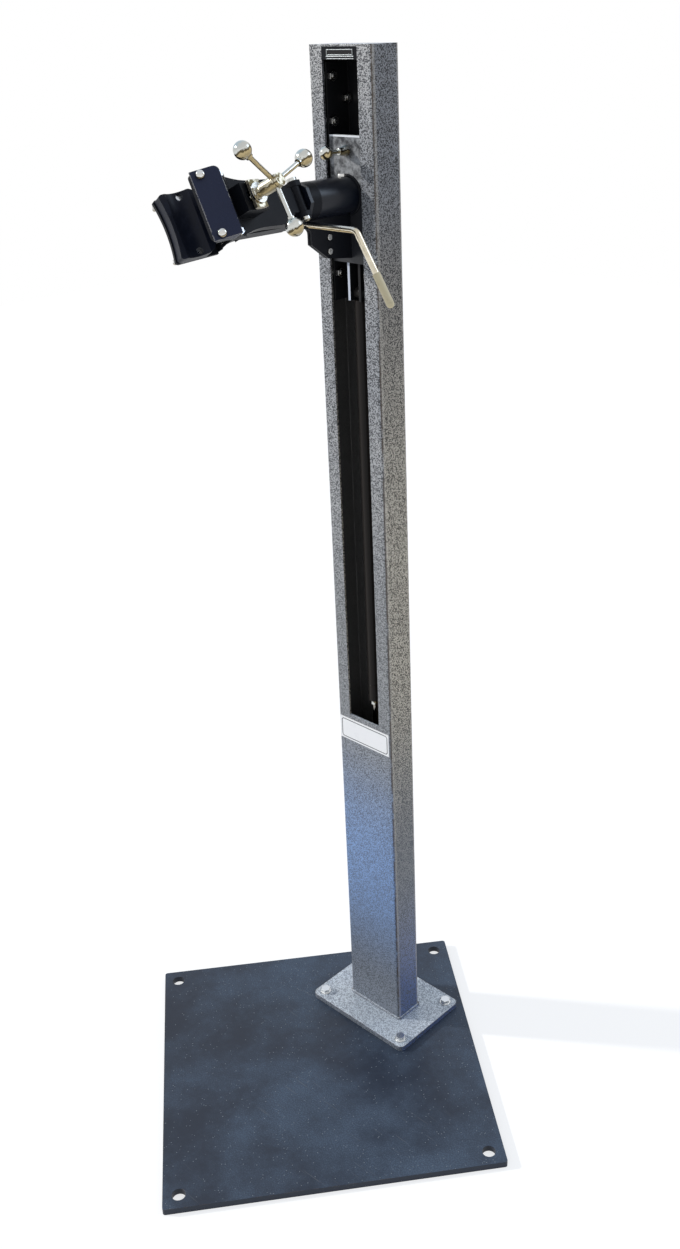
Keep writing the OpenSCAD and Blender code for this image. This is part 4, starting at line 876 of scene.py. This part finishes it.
def border_loop(inset, corner, depth):
    centre_x, centre_z = ((sign_low[i] + sign_high[i]) / 2 for i in (0, 2))
    half_x, half_z = ((sign_high[i] - sign_low[i]) / 2 - inset for i in (0, 2))
    return [border.verts.new((centre_x + x, sign_low[1] - depth, centre_z + z))
            for x, z, _ in round_corners(half_x, half_z, corner)]


loops = [border_loop(*OUTER, SUNK), border_loop(*OUTER, PROUD), border_loop(*INNER, PROUD), border_loop(*INNER, SUNK)]
skin(border, loops + loops[:1])
add_piece("sign_border", border, pad_mat, "column", "black_coat")

# %% [markdown]
# Bare plate at the top of the slot
# The cross piece at the top of the slot carries a small raised plate with a rim, and two rolled beads under
# it. The plate is left bare. Its rim is a ring of quads round a sunk field, and each bead is half a round bar.

# %% Rim and beads
RIM_LEFT, RIM_RIGHT = -0.0405, 0.0135
RIM_TOP, RIM_BOTTOM, FIELD_DEPTH = 0.0036, 0.0122, 0.0004
BEADS, BEAD_REACH, BEAD_SUNK = ((0.0014, 0.0010), (0.0046, 0.0007)), 0.001, 0.0003
RIM_STEPS = ((0.0, -0.0004), (0.0, 0.0009), (0.0003, 0.0012), (0.0012, 0.0012), (0.0015, FIELD_DEPTH))
stop_low, stop_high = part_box("top_stop")
face_y, rim_top, rim_bottom = stop_low[1], stop_high[2] - RIM_TOP, stop_high[2] - RIM_BOTTOM
rim = bmesh.new()
rings = []
for inset, depth in RIM_STEPS:
    left, right, high, low = RIM_LEFT + inset, RIM_RIGHT - inset, rim_top - inset, rim_bottom + inset
    rings.append([rim.verts.new((x, face_y - depth, z))
                  for x, z in ((left, high), (right, high), (right, low), (left, low))])
skin(rim, rings)
rim.faces.new(rings[-1])
half_turn = [math.pi * k / 10 for k in range(11)]
for below, bead_r in BEADS:
    bead_z = rim_bottom - below
    ends = []
    for x in (RIM_LEFT - BEAD_REACH, RIM_RIGHT + BEAD_REACH):
        ends.append([rim.verts.new((x, face_y + BEAD_SUNK - bead_r * math.sin(a), bead_z + bead_r * math.cos(a)))
                     for a in half_turn])
    skin(rim, ends, closed=False)
    for end in ends:
        rim.faces.new(end)
rim_piece = add_piece("top_stop_rim", rim, rim_mat, "column", "zinc")
rim_piece.data.materials.append(inside_mat)
for polygon in rim_piece.data.polygons:
    polygon.use_smooth = False
    sunk = abs(polygon.center.y - (face_y - FIELD_DEPTH)) < 0.0001 and polygon.area > 1e-4
    polygon.material_index = 1 if sunk else 0
print("faces of the sunk field:", sum(polygon.material_index for polygon in rim_piece.data.polygons))

# %% [markdown]
# Domes on the cover's bolts
# The two bolts that hold the jaw cover have round, domed heads. The CAD has plain hexagons there. A turned cap
# goes over each one: a single profile, carried round the bolt's axis. The axis and the seats of the two heads
# are measured on the CAD model, in metres.

# %% Turned domes
DOME_POINTS = 32
COVER_BOLT_AXIS = Vector((0.798, -0.450, 0.401)).normalized()
COVER_BOLT_SEATS = (Vector((0.0549, -0.1337, 1.5898)), Vector((0.0185, -0.1337, 1.6622)))
DOME_PROFILE = ((0.0061, -0.0038), (0.0061, 0.0001), (0.0057, 0.0012), (0.0048, 0.0023), (0.0033, 0.0031),
                (0.0014, 0.0035))
bolt_side = COVER_BOLT_AXIS.cross(Vector((0, 0, 1))).normalized()
bolt_up = COVER_BOLT_AXIS.cross(bolt_side)
domes = bmesh.new()
for seat in COVER_BOLT_SEATS:
    rows = [circle(domes, seat + COVER_BOLT_AXIS * rise, bolt_side, bolt_up, r, DOME_POINTS)
            for r, rise in DOME_PROFILE]
    skin(domes, rows)
    domes.faces.new(rows[-1])
    domes.faces.new(rows[0])
add_piece("cover_bolt_domes", domes, dome_mat, "swing_arm", "zinc")

# %% [markdown]
# Spring of the locking pin
# A compression spring is a helix of wire with its last turns lying flat. The CAD sleeve stands in for it. The
# wire is a tube that follows the helix; the turns close up towards both ends.

# %% The coil
WIRE_R, COILS, PER_TURN = 0.0007, 9, 24
CROWDING, WIRE_POINTS = 0.045, 8
spring_low, spring_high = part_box("plunger_spring")
spring_x, spring_z = (spring_low[0] + spring_high[0]) / 2, (spring_low[2] + spring_high[2]) / 2
coil_r = (spring_high[0] - spring_low[0]) / 2 - WIRE_R
coil_length = spring_high[1] - spring_low[1] - 2 * WIRE_R
coil = bmesh.new()
rows = []
for step in range(COILS * PER_TURN + 1):
    share = step / (COILS * PER_TURN)
    eased = min(max(share + CROWDING * math.sin(4 * math.pi * share), 0.0), 1.0)
    a = 2 * math.pi * step / PER_TURN
    outward = Vector((math.cos(a), 0, math.sin(a)))
    middle = Vector((spring_x, spring_low[1] + WIRE_R + coil_length * eased, spring_z)) + outward * coil_r
    rows.append(circle(coil, middle, outward, Vector((0, 1, 0)), WIRE_R, WIRE_POINTS))
skin(coil, rows)
coil.faces.new(rows[0])
coil.faces.new(rows[-1])
add_piece("locking_pin_spring", coil, spindle_mat, "carriage", "spring_steel", "plunger_spring")
print("coil:", COILS, "turns, wire", WIRE_R * 2000, "mm")

# %% The end
import json
